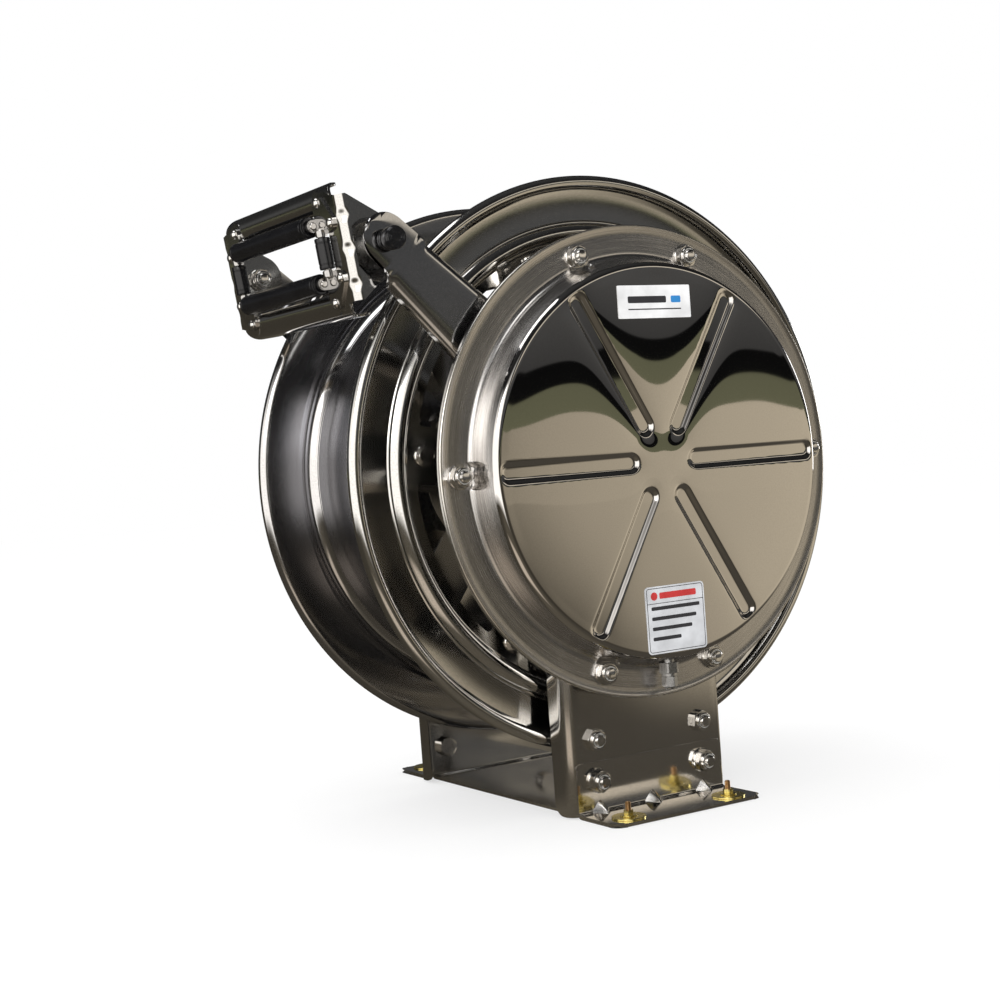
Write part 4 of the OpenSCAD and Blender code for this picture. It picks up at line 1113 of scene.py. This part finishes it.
def roller_profile(half, r):
    """Moulded tube with a shallow groove near each end and a recessed end face."""
    one = [(3.08, half - 1.6), (3.9, half - 1.6), (4.5, half - 1.2), (4.7, half - 0.2), (5.0, half), (r - 0.8, half),
           (r - 0.2, half - 0.3), (r, half - 0.9), (r, half - 3.4), (r - 0.3, half - 3.7), (r - 0.3, half - 4.3),
           (r, half - 4.6)]
    mid = [(r, (half - 4.6) * k) for k in (0.5, 0.0, -0.5)]
    return one + mid + [(a, -b) for a, b in one[::-1]]


def build_rollers():
    for name, node, v in (("guide_roller_top", "top_roller", 1), ("guide_roller_bottom", "bottom_roller", -1)):
        verts, faces = lathe(roller_profile(LONG_HALF, LONG_R), lambda q, a, t: head_point(
            -LONG_U + q * math.cos(a), t, v * LONG_V + q * math.sin(a)), 64)
        obj = mesh_object(name, verts, faces, [M["black"]], sharp=35)
        finish_piece(obj, node + "_body", (node,))
    for name, node, y in (("guide_roller_near", "near_roller", -1), ("guide_roller_far", "far_roller", 1)):
        verts, faces = lathe(roller_profile(SHORT_HALF, SHORT_R), lambda q, a, t: head_point(
            -SHORT_U + q * math.cos(a), y * SHORT_Y + q * math.sin(a), t), 64)
        obj = mesh_object(name, verts, faces, [M["black"]], sharp=35)
        finish_piece(obj, node + "_body", (node,))


def build_pivots():
    cx, cz = PIVOT[0], PIVOT[2]
    inner = FACE_W - SHEET
    knob = Builder()
    near = on_y(cx, cz, -1)
    knob.add(*lathe([(5.0, inner - 11), (5.0, 134.3)], near, 32, closed=False), 1)
    thread(knob, 5.0, near, inner - 8, inner - 12)
    body = [(4.0, 134.2), (7.7, 134.2), (8.3, 134.5), (8.4, 135.0), (8.4, 136.4), (8.0, 137.0), (7.2, 137.3), (7.0, 137.8),
            (7.0, 139.2), (8.4, 139.5), (9.0, 139.9), (9.2, 140.6), (9.2, 146.9), (9.0, 147.8), (8.4, 148.4), (8.2, 148.8),
            (8.2, 149.5), (7.8, 150.0), (6.6, 150.0), (6.45, 149.85), (6.3, 150.0), (5.2, 150.0), (5.05, 149.85), (4.9, 150.0),
            (3.6, 150.0), (3.4, 149.8), (1.2, 149.7), (0.1, 149.7)]
    knob.add(*lathe(body, near, 96, closed=False), 0)
    obj = knob.make("head_clamp_knob", [M["knob"], M["bright"]], sharp=35)
    finish_piece(obj, "knob", ("clamp_knob",))
    nut = Builder()
    washer(nut, 9.6, 5.1, near, inner - 0.05, inner - 1.6)
    lock_nut(nut, 17, 5.0, near, inner - 1.6, inner - 8.4)
    finish_piece(nut.make("clamp_nut_set", [M["bright"], M["insert"]], sharp=35), "head", ("head_clamp_nut",))
    bolt = Builder()
    far = on_y(cx, cz, 1)
    out = -0.0 + 121.5
    washer(bolt, 9.6, 5.1, far, inner - 0.05, inner - 1.6)
    lock_nut(bolt, 17, 5.0, far, inner - 1.6, inner - 9.6, turn=0.3)
    thread(bolt, 5.0, far, inner - 9.0, inner - 12.2)
    bolt.add(*lathe([(5.0, inner - 9), (5.0, out + 0.5)], far, 32, closed=False))
    hex_body(bolt, 17, far, out, out + 6.4, turn=0.5)
    finish_piece(bolt.make("head_pivot_set", [M["bright"], M["insert"]], sharp=35), "head",
                 ("head_pivot_bolt",))


# ------------------------------------------------------------------ pieces kept from the CAD frame

def paint_nodes():
    looks = {
        "flange": ("base_plate", "case_back_plate"),
        "core": ("drum_core",),
        "iron": ("near_bearing_housing", "far_bearing_housing"),
        "bronze": ("near_bush", "far_bush"),
        "shaft": ("drum_shaft", "drum_hubs", "spring_arbor", "ratchet_wheel", "pawl", "pawl_spacer", "pivot_spacer",
                  "far_arm_spacers", "case_spacers", "outlet_pipe", "hose_outlet", "swivel_body"),
        "bright": ("arm_bolts", "arm_nuts", "bearing_bolts", "pawl_pivot_bolt"),
        "spring": ("power_spring", "pawl_spring"),
        "rubber": ("swivel_seal",),
    }
    for look, names in looks.items():
        for name in names:
            obj = NODES[name]
            obj.data.materials.clear()
            obj.data.materials.append(M[look])


# ------------------------------------------------------------------ floor, light and camera

LEFT_GLOW = (1.5, 1.45, 1.38)
GROUND = [(-180, 0.06), (-150, 0.05), (-80, 0.06), (-50, 0.11), (-20, 0.10), (8, 0.05), (22, 0.045), (27, 0.08), (30, 0.22),
          (33, 0.36), (38, 0.50), (45, 0.62), (70, 0.60), (100, 0.20), (180, 0.06)]


def heading(tree, split):
    """Angle round the reel, 0 at the front, growing to the right; returned as 0 to 1 for -180 to 180 degrees."""
    ahead = add(tree, "ShaderNodeMath", operation="MULTIPLY")
    ahead.inputs[1].default_value = -1
    tree.links.new(split.outputs[1], ahead.inputs[0])
    turn = add(tree, "ShaderNodeMath", operation="ARCTAN2")
    tree.links.new(split.outputs[0], turn.inputs[0])
    tree.links.new(ahead.outputs[0], turn.inputs[1])
    return map_range(tree, turn.outputs[0], -math.pi, math.pi, 0, 1)


def ground_tone(tree, split):
    """Brown to cream floor seen in reflections."""
    stops = [((a + 180) / 360, (v, v * 0.87, v * 0.66)) for a, v in GROUND]
    return ramp(tree, heading(tree, split), stops).outputs[0]


def build_stage():
    mesh = bpy.data.meshes.new("floor")
    s = 8.0
    mesh.from_pydata([(-s, -s, -0.0005), (s, -s, -0.0005), (s, s, -0.0005), (-s, s, -0.0005)], [], [(0, 1, 2, 3)])
    floor = bpy.data.objects.new("floor", mesh)
    bpy.context.scene.collection.objects.link(floor)
    mat, tree, shader = new_material("pale_floor")
    shader.inputs["Base Color"].default_value = (1, 1, 1, 1)
    shader.inputs["Roughness"].default_value = 0.8
    shader.inputs["Specular IOR Level"].default_value = 0.0
    glow = add(tree, "ShaderNodeEmission")
    glow.inputs[0].default_value = (1, 1, 1, 1)
    pale = add(tree, "ShaderNodeMixShader")
    pale.inputs[0].default_value = 0.62
    tree.links.new(shader.outputs[0], pale.inputs[1])
    tree.links.new(glow.outputs[0], pale.inputs[2])
    place = add(tree, "ShaderNodeNewGeometry").outputs["Position"]
    split = add(tree, "ShaderNodeSeparateXYZ")
    tree.links.new(place, split.inputs[0])
    length = add(tree, "ShaderNodeVectorMath", operation="LENGTH")
    tree.links.new(place, length.inputs[0])
    reach = map_range(tree, length.outputs["Value"], 0.0, 2.0, 0, 1)
    near = ramp(tree, reach, [(0.0, grey(1)), (0.25, grey(1)), (0.50, grey(0)), (1.0, grey(0))])
    # painted shade: close to the reel, in front, the floor seen in reflections turns dark brown
    near_shade_mix = add(tree, "ShaderNodeMixRGB")
    near_shade_mix.inputs[2].default_value = (0.070, 0.062, 0.050, 1)
    front = ramp(tree, heading(tree, split), [(0.0, grey(0)), (0.47, grey(0)), (0.51, grey(1)), (0.70, grey(1)), (0.75, grey(0))])
    corner = ramp(tree, heading(tree, split), [(0.0, grey(0)), (0.31, grey(0)), (0.34, grey(1)), (0.40, grey(1)), (0.43, grey(0))])
    patch = ramp(tree, reach, [(0.17, grey(0)), (0.20, grey(1)), (0.30, grey(1)), (0.36, grey(0))])
    left = ramp(tree, heading(tree, split), [(0.17, grey(0)), (0.20, grey(1)), (0.45, grey(1)), (0.48, grey(0))])
    far = ramp(tree, reach, [(0.60, grey(0)), (0.95, grey(1))])
    # painted pool of light: a cream patch on the reflected floor, front-left of the reel
    lit = add(tree, "ShaderNodeMixRGB")
    lit.inputs[2].default_value = (0.62, 0.53, 0.43, 1)
    # painted glow: the far left of the reflected floor is brighter than white
    bright = add(tree, "ShaderNodeMixRGB")
    bright.inputs[2].default_value = (*LEFT_GLOW, 1)
    for size, mask, mixer in ((near, front, near_shade_mix), (patch, corner, lit), (far, left, bright)):
        zone = add(tree, "ShaderNodeMath", operation="MULTIPLY")
        tree.links.new(size.outputs[0], zone.inputs[0])
        tree.links.new(mask.outputs[0], zone.inputs[1])
        tree.links.new(zone.outputs[0], mixer.inputs[0])
    tree.links.new(ground_tone(tree, split), lit.inputs[1])
    tree.links.new(lit.outputs[0], bright.inputs[1])
    tree.links.new(bright.outputs[0], near_shade_mix.inputs[1])
    # glossy rays see the floor as a glowing painted reflection instead of the lit floor
    path = add(tree, "ShaderNodeLightPath")
    reflected_floor_glow = add(tree, "ShaderNodeEmission")
    tree.links.new(near_shade_mix.outputs[0], reflected_floor_glow.inputs[0])
    mix = add(tree, "ShaderNodeMixShader")
    tree.links.new(path.outputs["Is Glossy Ray"], mix.inputs[0])
    tree.links.new(pale.outputs[0], mix.inputs[1])
    tree.links.new(reflected_floor_glow.outputs[0], mix.inputs[2])
    tree.links.new(mix.outputs[0], tree.nodes["Material Output"].inputs[0])
    mesh.materials.append(mat)


def build_world():
    bpy.context.scene.view_settings.view_transform = "Standard"
    world = bpy.data.worlds.new("studio")
    bpy.context.scene.world = world
    world.use_nodes = True
    tree = world.node_tree
    tree.nodes.clear()
    out = add(tree, "ShaderNodeOutputWorld")
    coords = add(tree, "ShaderNodeTexCoord")
    split = add(tree, "ShaderNodeSeparateXYZ")
    tree.links.new(coords.outputs["Generated"], split.inputs[0])
    rise, turn = split.outputs[2], heading(tree, split)

    def layer(under, over, mask):
        node = add(tree, "ShaderNodeMixRGB")
        tree.links.new(mask, node.inputs[0])
        tree.links.new(under, node.inputs[1])
        if isinstance(over, tuple):
            node.inputs[2].default_value = (*over, 1)
        else:
            tree.links.new(over, node.inputs[2])
        return node.outputs[0]

    def window(low, high, soft, source):
        return ramp(tree, source, [(max(0.0, low - soft), grey(0)), (low, grey(1)), (high, grey(1)), (min(1.0, high + soft), grey(0))]).outputs[0]

    def both(a, b):
        node = add(tree, "ShaderNodeMath", operation="MULTIPLY")
        tree.links.new(a, node.inputs[0])
        tree.links.new(b, node.inputs[1])
        return node.outputs[0]

    room = ramp(tree, map_range(tree, rise, -0.1, 0.1, 0, 1), [
        (0.0, (0.14, 0.14, 0.085)), (0.552, (0.14, 0.14, 0.085)), (0.628, (0.13, 0.13, 0.080)), (0.633, (0.005, 0.005, 0.005)),
        (0.706, (0.004, 0.004, 0.004)), (0.712, (0.050, 0.049, 0.048)), (1.0, (0.085, 0.083, 0.080))]).outputs[0]
    high = ramp(tree, rise, [(0.0, grey(0.08)), (0.15, grey(0.075)), (0.30, grey(0.03)), (0.6, grey(0.012)), (1.0, grey(0.04))]).outputs[0]
    sky = layer(room, high, map_range(tree, rise, 0.08, 0.12, 0, 1))
    sky = layer(sky, (0.72, 0.65, 0.54), both(window(0.235, 0.36, 0.03, rise), window(0.53, 0.66, 0.02, turn)))
    low = add(tree, "ShaderNodeMath", operation="LESS_THAN")
    low.inputs[1].default_value = 0.0105
    tree.links.new(rise, low.inputs[0])
    whole = layer(sky, ground_tone(tree, split), low.outputs[0])
    whole = layer(whole, LEFT_GLOW, both(map_range(tree, rise, 0.62, 0.32, 0, 1), window(0.20, 0.45, 0.03, turn)))
    glossy = add(tree, "ShaderNodeBackground")
    tree.links.new(whole, glossy.inputs[0])
    white = add(tree, "ShaderNodeBackground")
    white.inputs[0].default_value = (1, 1, 1, 1)
    path = add(tree, "ShaderNodeLightPath")
    mix = add(tree, "ShaderNodeMixShader")
    tree.links.new(path.outputs["Is Glossy Ray"], mix.inputs[0])
    tree.links.new(white.outputs[0], mix.inputs[1])
    tree.links.new(glossy.outputs[0], mix.inputs[2])
    tree.links.new(mix.outputs[0], out.inputs[0])


def area_light(name, place, target, size, power, colour=(1, 1, 1)):
    data = bpy.data.lights.new(name, "AREA")
    data.shape = "RECTANGLE"
    data.size, data.size_y = size
    data.energy = power
    data.color = colour
    obj = bpy.data.objects.new(name, data)
    bpy.context.scene.collection.objects.link(obj)
    obj.location = place
    aim = Vector(target) - Vector(place)
    obj.rotation_euler = aim.to_track_quat("-Z", "Y").to_euler()
    return obj


def build_lights():
    centre = (0, 0, AXIS_H * MM)
    area_light("left_panel", (-1.9, -1.6, 1.25), centre, (1.5, 0.9), 10)
    area_light("top_panel", (-0.75, 0.05, 2.4), (-0.2, 0, 0.3), (1.5, 1.1), 11)
    area_light("low_right", (2.2, 0.3, 0.5), centre, (0.7, 0.7), 6)


def build_camera():
    azimuth, elevation, roll = math.radians(-31.244), math.radians(2.816), math.radians(-4.2686)
    back = Vector((math.sin(azimuth) * math.cos(elevation), -math.cos(azimuth) * math.cos(elevation), math.sin(elevation)))
    side = (-back).cross(Vector((0, 0, 1))).normalized()
    up = side.cross(-back).normalized()
    right = side * math.cos(roll) + up * math.sin(roll)
    top = -side * math.sin(roll) + up * math.cos(roll)
    data = bpy.data.cameras.new("camera")
    data.sensor_width = 36
    data.lens = 60.465
    data.shift_x = -0.0007
    data.shift_y = 0.0331
    data.clip_start = 0.05
    obj = bpy.data.objects.new("camera", data)
    bpy.context.scene.collection.objects.link(obj)
    turn = Matrix((right, top, back)).transposed()
    obj.matrix_world = Matrix.Translation(Vector((-0.8427, -1.2931, 0.3137))) @ turn.to_4x4()
    bpy.context.scene.camera = obj


build_case_cover()
build_labels()
build_flange("drum_flange_near", "near_flange", -1)
build_flange("drum_flange_far", "far_flange", 1)
build_foot("foot_near", "near_foot_bracket", -1)
build_foot("foot_far", "far_foot_bracket", 1)
build_transit_bolts()
build_base_fasteners()
build_case_fasteners()
build_anchor_bolt()
build_drum_ties()
build_pedestal("pedestal_near", "near_pedestal", -1, 194.0)
build_pedestal("pedestal_far", "far_pedestal", 1, 112.0)
build_arm("arm_near", "near_arm", -1, 131.5, 1, 22.0, 18.0, 10.5)
build_arm("arm_far", "far_arm", 1, 121.5, -1, 68.0, 68.0, 17.5)
build_head_side("head_side_near", "head_near_side", -1)
build_head_side("head_side_far", "head_far_side", 1)
build_head_cross("head_cross_top", "head_top_plate", 1)
build_head_cross("head_cross_low", "head_bottom_plate", -1)
build_clips()
build_rivets()
build_axles()
build_rollers()
build_pivots()
paint_nodes()
build_stage()
build_world()
build_lights()
build_camera()
